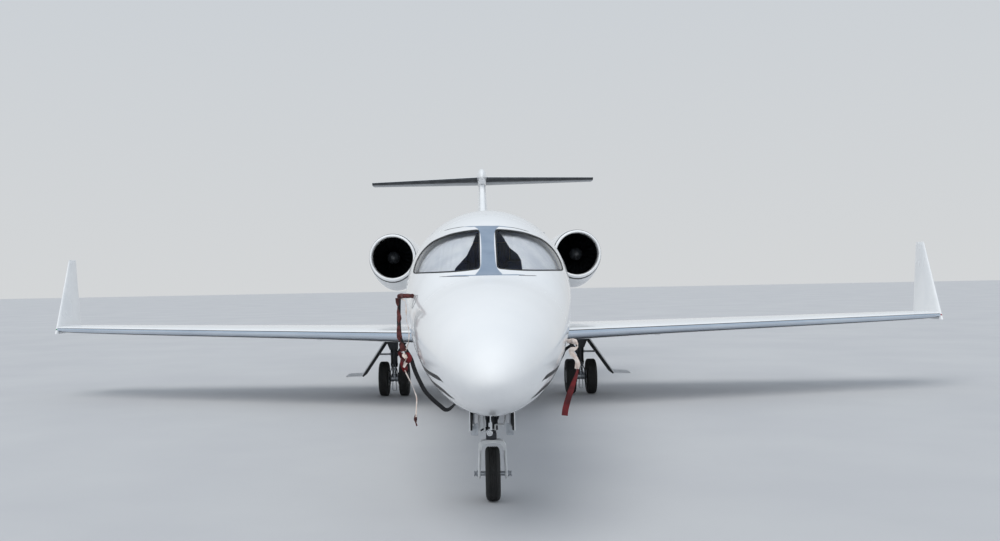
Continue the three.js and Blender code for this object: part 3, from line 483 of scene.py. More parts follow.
def clip(shape, field):
    """Keeps the part of a mesh where the field is above 0, with new points where it is 0."""
    points, faces = np.array(shape[0], float), shape[1]
    value = field(points)
    value = np.where(np.abs(value) < 1e-7, 1e-7, value)
    added, cuts, kept = [], {}, []

    def crossing(i, j):
        key = (min(i, j), max(i, j))
        if key not in cuts:
            cuts[key] = len(points) + len(added)
            added.append(key)
        return cuts[key]

    above = value > 0
    for face in faces:
        states = [above[i] for i in face]
        if all(states):
            kept.append(face)
        elif any(states):
            out = []
            for k, i in enumerate(face):
                j = face[(k + 1) % len(face)]
                if above[i]:
                    out.append(i)
                if above[i] != above[j]:
                    out.append(crossing(i, j))
            kept.append(tuple(out))
    if added:
        pairs = np.array(added)
        a, b, va, vb = points[pairs[:, 0]], points[pairs[:, 1]], value[pairs[:, 0]], value[pairs[:, 1]]
        for _ in range(4):
            t = (va / (va - vb))[:, None]
            middle = a + (b - a) * t
            vm = field(middle)
            same = (vm > 0) == (va > 0)
            a, va = np.where(same[:, None], middle, a), np.where(same, vm, va)
            b, vb = np.where(same[:, None], b, middle), np.where(same, vb, vm)
            if np.all(np.abs(vm) < 1e-4):
                break
            va, vb = np.where(np.abs(va) < 1e-9, 1e-9, va), np.where(np.abs(vb) < 1e-9, -1e-9, vb)
        points = np.concatenate([points, middle])
    used = sorted({i for face in kept for i in face})
    place = {old: new for new, old in enumerate(used)}
    return points[used], [tuple(place[i] for i in face) for face in kept]


def outline_field(outline):
    """Signed distance to a closed outline, above 0 inside, for points of two columns."""
    a = np.array(outline, float)
    b = np.roll(a, -1, 0)

    def field(p):
        ap, ab = p[:, None, :] - a[None], (b - a)[None]
        t = np.clip((ap * ab).sum(2) / np.maximum((ab * ab).sum(2), 1e-12), 0, 1)
        distance = np.sqrt(((ap - ab * t[..., None]) ** 2).sum(2)).min(1)
        up = (a[None, :, 1] > p[:, None, 1]) != (b[None, :, 1] > p[:, None, 1])
        dy = b[:, 1] - a[:, 1]
        x = (b[:, 0] - a[:, 0]) * (p[:, None, 1] - a[None, :, 1]) / np.where(dy == 0, 1, dy) + a[:, 0]
        inside = (up & (p[:, None, 0] < x)).sum(1) % 2 == 1
        return np.where(inside, distance, -distance)

    return field


def round_box(u, v, half_u, half_v, corner):
    """Signed distance to a rounded rectangle about 0, above 0 inside."""
    qu, qv = np.abs(u) - half_u + corner, np.abs(v) - half_v + corner
    outside = np.hypot(np.maximum(qu, 0), np.maximum(qv, 0)) + np.minimum(np.maximum(qu, qv), 0)
    return corner - outside


# ---- the body's skin ----
def section(station, table):
    """Top, bottom, half width, widest height and fullness; the nose tip closes in a round point."""
    station = np.asarray(station, float)
    values = [between(table, c, station) for c in range(1, 6)]
    if table is BODY:
        tip = np.sqrt(np.clip(station / NOSE_ROUND, 0, 1))
        ahead_of = station < NOSE_ROUND
        for k, (rest, full) in enumerate(((1205, 1320), (1205, 1100), (0, 120))):
            values[k] = np.where(ahead_of, rest + (full - rest) * tip, values[k])
        values[3] = np.where(ahead_of, 1205, values[3])
    return values


def skin(station, turn, inset=0.0, table=BODY):
    """Points of the body's section at a turn from the top towards port."""
    station, turn = np.broadcast_arrays(np.asarray(station, float), np.asarray(turn, float))
    top, bottom, half, wide, fullness = section(station, table)
    s, c = np.sin(turn), np.cos(turn)
    power = np.where(c >= 0, 1, 2 / fullness)
    x = np.maximum(half - inset, 0) * np.sign(s) * np.abs(s) ** power
    z = np.where(c >= 0, wide + np.maximum(top - inset - wide, 0) * c,
                 wide - np.maximum(wide - bottom - inset, 0) * np.abs(c) ** power)
    return np.stack([x, station, z], -1)


def skin_x(station, z, inset=0.0):
    """Half width of the body at a height."""
    top, bottom, half, wide, fullness = (float(v) for v in section(station, BODY))
    high = z >= wide
    share = (z - wide) / (top - inset - wide) if high else (wide - z) / (wide - bottom - inset)
    power = 2 if high else fullness
    return (half - inset) * max(0.0, 1 - share**power) ** (1 / power)


def skin_patch(stations, turns, inset=0.0, table=BODY, ease=0.0):
    """A grid on the body's skin; ease draws in the two end rings, as a panel's edge is."""
    stations = np.asarray(stations, float)
    whole = abs(turns[-1] - turns[0]) > 2 * math.pi - 0.01
    turns = np.asarray(turns[:-1] if whole else turns, float)
    insets = np.full(len(stations), inset)
    if ease:
        first, last = stations[:1], stations[-1:]
        stations = np.concatenate([first, first + ease, stations[1:-1], last - ease, last])
        insets = np.concatenate([[inset + ease], insets, [inset + ease]])
    points = skin(stations[:, None], turns[None, :], insets[:, None], table)
    return points.reshape(-1, 3), grid(len(stations), len(turns), whole)


def steps(start, end, size):
    """Even steps of about this size, with both ends."""
    return np.linspace(start, end, max(2, int(round(abs(end - start) / size)) + 1))


AROUND = np.linspace(0, 2 * math.pi, 177)
BAY_FRONT, BAY_BACK, BAY_HALF, BAY_TOP = 1250, 2200, 170, 1100
GAP = 0.6


def outside_bay(p):
    """Below 0 inside the nose gear bay's opening."""
    inside = np.minimum(np.minimum(p[:, 1] - BAY_FRONT, BAY_BACK - p[:, 1]), BAY_HALF - np.abs(p[:, 0]))
    return np.where(p[:, 2] < BAY_TOP, -inside, 1.0)


nose_stations = np.concatenate([NOSE_ROUND * np.linspace(0, 1, 14) ** 2, steps(75, COCKPIT - GAP, 22)])
make("nose_skin", clip(skin_patch(nose_stations, AROUND), outside_bay), [WHITE_ENAMEL, WELL_PAINT],
     stands_for="nose_section", wall=12)

# Windscreen: its opening, a rubber seal and the pane
SCREEN_CORNERS = [34, 50, 60, 60, 26, 26, 60, 60, 60, 60, 60, 60, 34]
SCREEN_FRONT, SCREEN_BACK, SCREEN_TURN = 1862, 3344, 1.75
screen_field = outline_field(rounded(WINDSCREEN, SCREEN_CORNERS))


def in_screen(shrink):
    """Above 0 inside the windscreen's outline, drawn in by shrink."""
    def field(p):
        near = (p[:, 1] > SCREEN_FRONT - 7) & (p[:, 1] < SCREEN_BACK + 1) & (p[:, 2] > 1900)
        out = np.full(len(p), -1.0)
        out[near] = screen_field(np.stack([np.abs(p[near, 0]), p[near, 2]], 1)) - shrink
        return out
    return field


cockpit_turns = np.concatenate([np.linspace(0, SCREEN_TURN, 111),
                                np.linspace(SCREEN_TURN, 2 * math.pi - SCREEN_TURN, 60)[1:-1],
                                np.linspace(2 * math.pi - SCREEN_TURN, 2 * math.pi, 111)])
cockpit_patch = skin_patch(steps(COCKPIT + GAP, DOOR_RING - GAP, 14), cockpit_turns, ease=1.5)
cockpit_open = clip(clip(cockpit_patch, outside_bay), lambda p: -in_screen(0)(p))
make("cockpit_skin", cockpit_open, [WHITE_ENAMEL, NAVY_TRIM_SKY_REFLECTION], stands_for="cockpit_section", wall=22)
seal = clip(skin_patch(steps(SCREEN_FRONT, SCREEN_BACK, 9), cockpit_turns, 1.0), in_screen(0.4))
make("windscreen_seals", clip(seal, lambda p: -in_screen(13)(p)), BLACK_RUBBER_AND_REFLECTION, wall=16)
for side_name, side in SIDES:
    pane = clip(skin_patch(steps(SCREEN_FRONT, SCREEN_BACK, 22), cockpit_turns, 3.0), in_screen(12))
    make(f"windscreen_pane_{side_name}", clip(pane, lambda p, s=side: p[:, 0] * s), SCREEN_GLASS,
         stands_for=f"windscreen_{side_name}", wall=12, sharp=60)

# The centre post's slate panel with its white edges, standing a little proud of the skin
POST_SIDE = [(-120, 2392), (-66, 2345), (-57, 2200), (-64, 1985), (-118, 1926)]
post_outline = rounded(POST_SIDE + [(-x, z) for x, z in POST_SIDE[::-1]], [8, 60, 60, 60, 8] * 2)
post_field = outline_field(post_outline)
half_turns = steps(0, 0.45, 0.009)
post_patch = skin_patch(steps(SCREEN_FRONT, 3100, 14), np.unique(np.concatenate([-half_turns, half_turns])), -2.5)
make("windscreen_post", clip(post_patch, lambda p: post_field(p[:, [0, 2]])), SLATE_ENAMEL, wall=6)
# Slate bands that run out from the post along the brow and the sill, and the dark seams beyond them, with widths
BANDS = [([(-223, 2393), (-150, 2392), (-44, 2390), (135, 2385), (240, 2372)], 24),
         ([(-360, 1921), (-170, 1922), (0, 1922), (254, 1920), (310, 1918)], 22)]
SEAMS = [([(-415, 2372), (-330, 2386), (-223, 2395)], 9), ([(180, 2381), (240, 2374), (330, 2356), (400, 2336)], 9),
         ([(-430, 1916), (-300, 1917), (-170, 1915)], 7), ([(254, 1914), (414, 1908)], 7)]


def station_of(x, z, low=0.0, high=4200.0):
    """The station where the skin ahead of the roof's crown passes through x and z."""
    low, high = np.full(np.shape(x), low), np.full(np.shape(x), high)
    for _ in range(40):
        middle = (low + high) / 2
        top, bottom, half, wide, fullness = section(middle, BODY)
        up = z >= wide
        rise = np.where(up, (z - wide) / np.maximum(top - wide, 1), (wide - z) / np.maximum(wide - bottom, 1))
        power = np.where(up, 2, fullness)
        outside = np.abs(x / np.maximum(half, 1)) ** power + np.abs(rise) ** power > 1
        low, high = np.where(outside, middle, low), np.where(outside, high, middle)
    return high


def ribbon_on_skin(xs, zs, width, proud=1.5):
    """A thin strip laid on the body ahead of the roof's crown, along points of x and z."""
    xs, zs = np.asarray(xs, float), np.asarray(zs, float)
    centre = np.stack([xs, station_of(xs, zs), zs], -1)
    delta = 2.0
    du = np.stack([xs + delta, station_of(xs + delta, zs), zs], -1) - centre
    dv = np.stack([xs, station_of(xs, zs + delta), zs + delta], -1) - centre
    normal = np.cross(du, dv)
    normal *= np.sign(-normal[:, 1:2]) / np.linalg.norm(normal, axis=1)[:, None]
    along = unit(np.gradient(centre, axis=0))
    across = np.cross(normal, along) * (np.asarray(width, float).reshape(-1, 1) / 2)
    rows = [centre - across - normal, centre - across * 0.8 + normal * proud,
            centre + across * 0.8 + normal * proud, centre + across - normal]
    return loft(np.stack(rows, 1))


def seam_line(points, width, tips=0.25):
    """A strip on the skin that narrows towards both of its ends."""
    xs = steps(points[0][0], points[-1][0], 18)
    zs = np.interp(xs, [p[0] for p in points], [p[1] for p in points])
    share = np.linspace(-1, 1, len(xs))
    return ribbon_on_skin(xs, zs, width * np.clip((1 - np.abs(share)) / tips, 0.15, 1))


for name, strips, finish in (("windscreen_bands", BANDS, SLATE_ENAMEL), ("windscreen_seams", SEAMS, BLACK_RUBBER_AND_REFLECTION)):
    form = Form()
    for points, width in strips:
        form.add(seam_line(points, width))
    make(name, form, finish)


# Door ring with its opening, and the two halves of the entry door
def door_field(grow):
    """Above 0 inside the door's outline, let out by grow."""
    def field(p):
        inside = round_box(p[:, 1] - (DOOR_FRONT + DOOR_BACK) / 2, p[:, 2] - (DOOR_LOW + DOOR_HIGH) / 2,
                           (DOOR_BACK - DOOR_FRONT) / 2 + grow, (DOOR_HIGH - DOOR_LOW) / 2 + grow + 6, 60 + grow)
        return np.where(p[:, 0] > 0, inside, -50.0)
    return field


DOOR_HALVES = (("upper", 1, (0.3, 1.7), DOOR_HIGH, 2100), ("lower", -1, (1.3, 2.6), DOOR_LOW, 1640))
door_turns = np.concatenate([np.linspace(0.3, 2.6, 150), np.linspace(2.6, 2 * math.pi + 0.3, 70)[1:]])
ring_patch = skin_patch(steps(DOOR_RING + GAP, CABIN - GAP, 20), door_turns, ease=1.5)
make("door_ring_skin", clip(ring_patch, lambda p: -door_field(0)(p)), [WHITE_ENAMEL, LINER_CLOTH],
     stands_for="door_ring", wall=45)
for half_name, way, turns, _, _ in DOOR_HALVES:
    panel = clip(skin_patch(steps(DOOR_FRONT, DOOR_BACK, 16), np.linspace(*turns, 90)), door_field(-6))
    make(f"entry_door_{half_name}_panel", clip(panel, lambda p, w=way: w * (p[:, 2] - DOOR_SPLIT) - 3),
         [WHITE_ENAMEL, LINER_CLOTH], body=f"{half_name}_door",
         stands_for=f"entry_door_{half_name}", wall=44)
treads, grips = Form(), Form()
for z in (1290, 1500):
    reach = skin_x(4400, z, 45)
    treads.add(block((reach - 210, DOOR_FRONT + 60, z), (reach + 12, DOOR_BACK - 60, z + 26), 6))
    for k in range(8):
        x = reach - 190 + 24 * k
        grips.add(block((x, DOOR_FRONT + 75, z + 25), (x + 12, DOOR_BACK - 75, z + 29.5), 1.5, 1))
make("entry_steps", treads, CAST_ALUMINIUM, body="lower_door")
make("entry_step_grips", grips, BLACK_RUBBER_AND_REFLECTION, body="lower_door")
for half_name, _, _, z, handle_z in DOOR_HALVES:
    x = skin_x(DOOR_FRONT, z) + 2
    knuckles = Form()
    for start in np.arange(DOOR_FRONT + 8, DOOR_BACK - 60, 88):
        knuckles.add(bar((x, start, z), (x, start + 62, z), 9))
    make(f"door_hinge_{half_name}", knuckles, CAST_ALUMINIUM, body=f"{half_name}_door")
    handle = [(skin_x(4500, handle_z, inset), station, handle_z)
              for station, inset in ((4420, 46), (4430, 80), (4500, 84), (4570, 80), (4580, 46))]
    make(f"door_handle_{half_name}", tube(handle, 9), CHROME, body=f"{half_name}_door")

# Cabin barrel, panes and their inner frames
WINDOW_TURNS = (1.0, 1.62)
cabin_turns = np.concatenate([np.linspace(0, WINDOW_TURNS[0], 18)[:-1], np.linspace(*WINDOW_TURNS, 40),
                              np.linspace(WINDOW_TURNS[1], math.pi, 20)[1:]])
cabin_turns = np.concatenate([cabin_turns, (2 * math.pi - cabin_turns[::-1])[1:]])
cabin_stations = [CABIN + GAP]
for middle in WINDOW_FIRST + WINDOW_PITCH * np.arange(WINDOW_COUNT):
    cabin_stations += list(np.linspace(middle - 152, middle + 152, 21)) + [middle + 208]
cabin_stations = np.array(cabin_stations + [9260, 9380, TAIL - GAP])


def in_windows(shrink):
    """Above 0 inside the cabin windows, drawn in by shrink."""
    def field(p):
        k = np.clip(np.round((p[:, 1] - WINDOW_FIRST) / WINDOW_PITCH), 0, WINDOW_COUNT - 1)
        return round_box(p[:, 1] - WINDOW_FIRST - k * WINDOW_PITCH, p[:, 2] - WINDOW_Z, 145 - shrink, 200 - shrink,
                         120 - shrink)
    return field


cabin_skin = clip(skin_patch(cabin_stations, cabin_turns, ease=1.5), lambda p: -in_windows(0)(p))
make("cabin_skin", cabin_skin, [WHITE_ENAMEL, LINER_CLOTH], stands_for="cabin_barrel", wall=30)
pane_stations = steps(4930, 9000, 14)
for side_name, side in SIDES:
    window_turns = (np.linspace(*WINDOW_TURNS, 40) * side)[::side]
    panes = clip(skin_patch(pane_stations, window_turns, 4.0), in_windows(1))
    make(f"cabin_panes_{side_name}", panes, CABIN_GLASS, stands_for=f"cabin_windows_{side_name}",
         wall=8, sharp=60)
    rims = clip(skin_patch(pane_stations, window_turns, 31.0), in_windows(-26))
    make(f"window_surrounds_{side_name}", clip(rims, lambda p: -in_windows(14)(p)), LINER_CLOTH,
         wall=9)

# Tail cone with its vent, and the strakes under it
tail_stations = np.concatenate([steps(TAIL + GAP, 15900, 70), steps(15930, TAIL_END, 45)])
tail = Form().add(skin_patch(tail_stations, AROUND, ease=1.5))
end_ring = skin(TAIL_END, AROUND[:-1])
inner_ring = end_ring * (0.55, 1, 1)
inner_ring[:, 2] = 2030 + (end_ring[:, 2] - 2030) * 0.38
tail.add(loft([end_ring, inner_ring, inner_ring + (0, -180, 0)], ends=False))
make("tail_skin", tail, [WHITE_ENAMEL, WELL_PAINT], stands_for="tail_cone", wall=9)
strakes = Form()
drop = math.radians(38)
outline = rounded([(13900, 100), (14300, 330), (15900, 760), (16150, 760), (15950, 0), (14000, 0)], 50)
points, faces = prism(outline[:, ::-1], -10, 10, axis=0, ease=5)
lift, reach, station = points.T
strake = np.stack([60 + reach * math.cos(drop) + lift * math.sin(drop), station,
                   1880 - reach * math.sin(drop) + lift * math.cos(drop)], -1)
for _, side in SIDES:
    strakes.add((strake, faces), side=side)
make("tail_strakes", strakes, COMPOSITE_ENAMEL)

# Wing fairing under the body
fairing_rings = skin(steps(6600, 12200, 45)[:, None], circle(96)[None], 0.0, FAIRING)
make("wing_fairing_shell", loft(fairing_rings), COMPOSITE_ENAMEL, stands_for="wing_fairing")


# ---- flying surfaces ----
def share_of(fraction):
    """Share of an airfoil's full thickness at a fraction of its chord."""
    return between(AIRFOIL, 1, np.sqrt(np.clip(fraction, 0, 1)))


def chord_steps(count):
    """Fractions of a chord, closer together at the leading edge."""
    return np.linspace(0, 1, count) ** 1.8


def foil_ring(x, z, lead, chord, thick, count, axis):
    """A ring round an airfoil at x and z; its thickness runs along axis 0 or 2."""
    fraction = chord_steps(count)
    half = 0.5 * thick * share_of(fraction)
    upper = np.stack([np.full(count, float(x)), lead + chord * fraction, np.full(count, float(z))], -1)
    lower = upper.copy()
    upper[:, axis] += half
    lower[:, axis] -= half
    return np.concatenate([upper, lower[1:][::-1]])


def wing_half(table):
    """Half thickness of a wing at span place and station."""
    def half(x, station):
        lead, chord, thick = (between(table, c, x) for c in (1, 2, 4))
        return 0.5 * thick * share_of((station - lead) / chord)
    return half


def planform(table, start, end, rows, columns):
    """A grid over a wing's plan as (span place, station, 0); columns is a count or the shares of the chord."""
    span = np.linspace(start, end, rows)
    share = chord_steps(columns) if isinstance(columns, int) else np.array(columns)
    lead, chord = between(table, 1, span), between(table, 2, span)
    points = np.stack([np.repeat(span[:, None], len(share), 1), lead[:, None] + chord[:, None] * share,
                       np.zeros((rows, len(share)))], -1)
    return points.reshape(-1, 3), grid(rows, len(share))


def thickened(plan, half, place):
    """A closed body over a flat plan: half gives half the thickness, place turns (a, b, height) into a point."""
    points, faces = plan
    h = np.maximum(half(points[:, 0], points[:, 1]), 0)
    upper, lower = place(points[:, 0], points[:, 1], h), place(points[:, 0], points[:, 1], -h)
    count = len(points)
    edges = {}
    for face in faces:
        for a, b in zip(face, face[1:] + face[:1]):
            edges[(a, b)] = edges.get((a, b), 0) + 1
    walls = [(b, a, a + count, b + count) for (a, b) in edges if (b, a) not in edges]
    return np.concatenate([upper, lower]), list(faces) + [tuple(i + count for i in f)[::-1] for f in faces] + walls


def hinge_frame(start, end):
    """Distances along and aft of a hinge line in a plan."""
    start, end = np.array(start, float), np.array(end, float)
    length = float(np.linalg.norm(end - start))
    along = (end - start) / length
    aft = np.array([-along[1], along[0]])
    aft *= np.sign(aft[1])
    return start, along, aft, length


def cut_out(plan, hinge, front, slot=12.0):
    """The plan without the room that a control surface needs."""
    start, along, aft, length = hinge

    def field(p):
        d = p[:, :2] - start
        s, t = d @ along, d @ aft
        return -np.minimum(np.minimum(s + slot, length + slot - s), t + front)
    return clip(plan, field)


def control_plan(hinge, nose, trail, rows=40, ahead_columns=9, aft_columns=14):
    """A plan of a control surface from its nose, given at both ends, to the trailing edge that trail gives."""
    start, along, aft, length = hinge
    s = np.linspace(0, length, rows)
    origin = start + s[:, None] * along
    reach = np.array([trail(o, aft) for o in origin])
    ahead = -np.linspace(*nose, rows)[:, None] * np.cos(np.linspace(0, math.pi / 2, ahead_columns, endpoint=False))
    t = np.concatenate([ahead, reach[:, None] * np.linspace(0, 1, aft_columns)], 1)
    points = origin[:, None, :] + t[..., None] * aft
    flat = np.concatenate([points, np.zeros(points.shape[:2] + (1,))], -1)
    return flat.reshape(-1, 3), grid(rows, flat.shape[1])


def control_half(hinge, nose, half):
    """Half thickness of a control surface: the fixed surface's own, with a round nose ahead of the hinge."""
    start, along, aft, length = hinge

    def inner(a, b):
        d = np.stack([a, b], -1) - start
        s, t = d @ along, d @ aft
        foot = start + s[:, None] * along
        at_hinge = half(foot[:, 0], foot[:, 1])
        reach = np.interp(s, (0, length), nose)
        return np.where(t < 0, at_hinge * np.sqrt(np.clip(1 - (t / reach) ** 2, 0, 1)), half(a, b))
    return inner


def control_surface(kind, suffix, hinge, nose, trail, half, place, side=1):
    """A control surface, as a piece on its own body."""
    surface = thickened(control_plan(hinge, nose, trail), control_half(hinge, nose, half), place)
    make(f"{kind}{suffix}_shell", Form().add(surface, 0, side), WHITE_ENAMEL, body=f"{kind}_body{suffix}",
         stands_for=f"{kind}{suffix}")


def add_shroud(form, hinge, half, place, front, back, side=1, thick=3.0, rows=40):
    """Adds two thin lips that carry the fixed skin back over a control surface's nose."""
    start, along, aft, length = hinge
    for sign in (1, -1):
        rings = []
        for value in np.linspace(-12, length + 12, rows):
            a, b = start + value * along - aft * front, start + value * along - aft * back
            ha, hb = half(a[:1], a[1:])[0], half(b[:1], b[1:])[0]
            lip = ((a, ha), (b, hb), (b, hb - thick), (a, ha - thick))
            rings.append([place(p[:1], p[1:], np.array([h * sign]))[0] for p, h in lip])
        rings = np.array(rings)
        form.add(loft(rings if sign < 0 else rings[:, ::-1]), 0, side)


def wing_place(table):
    """Puts a place in a wing's plan, and its height over the plan, into the aircraft."""
    def place(a, b, h):
        return np.stack([a, b, between(table, 3, a) + h], -1)
    return place


def trail_of(table):
    """The distance aft from a point in the plan to the wing's trailing edge, by steps."""
    def trail(origin, aft):
        t = 200.0
        for _ in range(12):
            point = origin + aft * t
            t += sum(look_up(table, point[0], 1, 2)) - point[1]
        return t
    return trail


def hinge_on(table, inner, outer, fraction):
    """A hinge line between two span places, at a fraction of the chord."""
    ends = []
    for x in (inner, outer):
        lead, chord = look_up(table, x, 1, 2)
        ends.append((x, lead + chord * fraction))
    return hinge_frame(*ends)


# Room ahead of each hinge in the fixed surface, and the reach of the moving nose there at its inner and outer end
AILERON_ROOM, AILERON_NOSE = 48, (34, 24)
FLAP_ROOM, FLAP_NOSE = 78, (60, 36)
ELEVATOR_ROOM, ELEVATOR_NOSE = 62, (48, 24)
RUDDER_ROOM, RUDDER_NOSE = 70, (34, 56)
wing_half_of, wing_put = wing_half(WING), wing_place(WING)
aileron_hinge, flap_hinge = hinge_on(WING, 5150, 6650, 0.76), hinge_on(WING, 1250, 5050, 0.78)


def chord_share(points):
    """How far back on the wing's chord points lie, as a share."""
    return (points[:, 1] - between(WING, 1, points[:, 0])) / between(WING, 2, points[:, 0])


# The leading edge: shares of the chord, and from each on the finish above and below. On top, the black line from 0.012
# to 0.019 is a painted reflection of a dark horizon; underneath, the dark band from 0.028 is painted shade.
NOSE_SHARES = [0, 0.001, 0.003, 0.0055, 0.0085, 0.012, 0.0155, 0.019, 0.0235, 0.028, 0.036, 0.044, 0.052, 0.06]
NOSE_FINISHES = [(0, 0, 0), (0.012, 1, 0), (0.019, 2, 0), (0.028, 2, 3)]
nose_plan = planform(WING, WING_ROOT, WING_TIP - 4, 130, NOSE_SHARES)
nose_surface = thickened(nose_plan, wing_half_of, wing_put)
nose_finishes = []
for number, face in enumerate(nose_surface[1]):
    share = chord_share(nose_surface[0][list(face)]).mean()
    column = 1 if number < len(nose_plan[1]) else 2
    nose_finishes.append([row[column] for row in NOSE_FINISHES if row[0] <= share + 1e-6][-1])
main_plan = clip(planform(WING, WING_ROOT, WING_TIP - 4, 130, 44), lambda p: chord_share(p) - 0.0603)
main_plan = cut_out(cut_out(main_plan, aileron_hinge, AILERON_ROOM), flap_hinge, FLAP_ROOM)
WINGLET_LOW, WINGLET_HIGH = 1104, 2370
for side_name, side in SIDES:
    wing = Form().add(thickened(main_plan, wing_half_of, wing_put), 0, side)
    add_shroud(wing, aileron_hinge, wing_half_of, wing_put, AILERON_ROOM + 1, 24, side)
    add_shroud(wing, flap_hinge, wing_half_of, wing_put, FLAP_ROOM + 1, 34, side)
    wing.add(bar((2650, 9250, 967), (2650, 9250, 1030), 44), 0, side)
    make(f"wing_{side_name}_shell", wing, WHITE_ENAMEL, stands_for=f"wing_{side_name}")
    nose = Form().add(nose_surface, 0, side)
    nose.finishes = list(nose_finishes)
    make(f"wing_leading_edge_{side_name}", nose, [POLISHED_ALUMINIUM_SKY_TINT, BLACK_RUBBER_AND_REFLECTION, WHITE_ENAMEL, BOOT_RUBBER_AND_SHADE])
    for kind, hinge, reach in (("aileron", aileron_hinge, AILERON_NOSE), ("flap", flap_hinge, FLAP_NOSE)):
        control_surface(kind, f"_{side_name}", hinge, reach, trail_of(WING), wing_half_of, wing_put, side)
    rings = []
    for t in np.linspace(0, 1, 40):
        z = WINGLET_LOW + (WINGLET_HIGH - WINGLET_LOW) * t
        x, lead, chord, thick = look_up(WINGLET, z, 1, 2, 3, 4)
        tip = math.sqrt(max(0.0, 1 - max(0.0, (t - 0.985) / 0.015) ** 2)) * 0.9 + 0.1
        rings.append(foil_ring(x, z, lead, chord, thick * tip, 26, 0))
    make(f"winglet_{side_name}_shell", Form().add(loft(rings), 0, side), COMPOSITE_ENAMEL,
         stands_for=f"winglet_{side_name}")

# Stabilizer halves, elevators and the bullet between them
tail_half_of, tail_put = wing_half(STABILIZER), wing_place(STABILIZER)
elevator_hinge = hinge_on(STABILIZER, 250, 2480, 0.68)
tail_plan = cut_out(planform(STABILIZER, 0, 2540, 60, 36), elevator_hinge, ELEVATOR_ROOM)


def tail_finish(surface):
    """1 on the dark leading edge boot, carried further back underneath as painted shade; 2 on the lower skin, grey as
    painted shade; 0 above.
    """
    points, faces = surface
    chosen = []
    for face in faces:
        x, station, z = points[list(face)].mean(0)
        lead, chord, height = look_up(STABILIZER, abs(x), 1, 2, 3)
        below = z < height + 1
        chosen.append(1 if (station - lead) / chord < (0.09 if below else 0.03) else 2 if below else 0)
    return chosen


stabilizer = Form()
for side_name, side in SIDES:
    surface = thickened(tail_plan, tail_half_of, tail_put)
    stabilizer.add(surface, 0, side)
    stabilizer.finishes[-len(surface[1]):] = tail_finish(surface)
    add_shroud(stabilizer, elevator_hinge, tail_half_of, tail_put, ELEVATOR_ROOM + 1, 12, side)
    control_surface("elevator", f"_{side_name}", elevator_hinge, ELEVATOR_NOSE, trail_of(STABILIZER), tail_half_of,
                    tail_put, side)
turns = circle(32)
bullet = []
for station in np.concatenate([15240 + 30 * np.linspace(0, 1, 5) ** 2, steps(15320, 17640, 60), [17668, 17680]]):
    half, top, bottom = look_up(BULLET, station, 1, 2, 3)
    height = (top + bottom) / 2 + (top - bottom) / 2 * np.cos(turns)
    bullet.append(np.stack([half * np.sin(turns), np.full(32, station), height], -1))
stabilizer.add(loft(bullet))
make("stabilizer_shell", stabilizer, [WHITE_ENAMEL, BOOT_RUBBER_AND_SHADE, GREY_ENAMEL_AND_SHADE],
     stands_for="stabilizer")


# Fin and rudder: the plan is (height, station), the thickness runs across
def fin_half(z, station):
    """Half thickness of the fin at height and station."""
    lead, trail, thick = (between(FIN, c, z) for c in (1, 2, 3))
    return 0.5 * thick * share_of((station - lead) / (trail - lead))


def fin_place(z, station, h):
    """Puts a height, a station and a distance to the side into the aircraft."""
    return np.stack([-h, station, z], -1)


def fin_trail(origin, aft):
    """The distance aft from a point in the fin's plan to its trailing edge, by steps."""
    t = 400.0
    for _ in range(14):
        point = origin + aft * t
        t += float(between(FIN, 2, point[0])) - point[1]
    return t


rudder_hinge = hinge_frame((2560, 15560), (3883, 16222))
heights = np.linspace(FIN_ROOT, FIN_TOP - 2, 80)
lead, trail = between(FIN, 1, heights), between(FIN, 2, heights)
fin_plan = (np.stack([np.repeat(heights[:, None], 44, 1), lead[:, None] + (trail - lead)[:, None] * chord_steps(44),
                      np.zeros((80, 44))], -1).reshape(-1, 3), grid(80, 44))
fin = Form().add(thickened(cut_out(fin_plan, rudder_hinge, RUDDER_ROOM), fin_half, fin_place))
add_shroud(fin, rudder_hinge, fin_half, fin_place, RUDDER_ROOM + 1, 16)
make("fin_shell", fin, WHITE_ENAMEL, stands_for="fin")
control_surface("rudder", "", rudder_hinge, RUDDER_NOSE, fin_trail, fin_half, fin_place)

# ---- engines ----
duct_turns = circle(96)


def nacelle_ring(station, grow=0.0):
    """A ring on the nacelle's outside, let out by grow."""
    half, up, down = (value + grow for value in look_up(NACELLE, station, 1, 2, 3))
    c = np.cos(duct_turns)
    height = ENGINE_Z + np.where(c >= 0, up, down) * c
    return np.stack([ENGINE_X + half * np.sin(duct_turns), np.full(96, station), height], -1)


def circle_rings(*places):
    """Round rings about the engine's line, for pairs of station and radius."""
    return [np.stack([ENGINE_X + radius * np.sin(duct_turns), np.full(96, station),
                      ENGINE_Z + radius * np.cos(duct_turns)], -1) for station, radius in places]


def hoop(rings):
    """A closed skin that ends where it starts."""
    return loft(rings + rings[:1], ends=False)


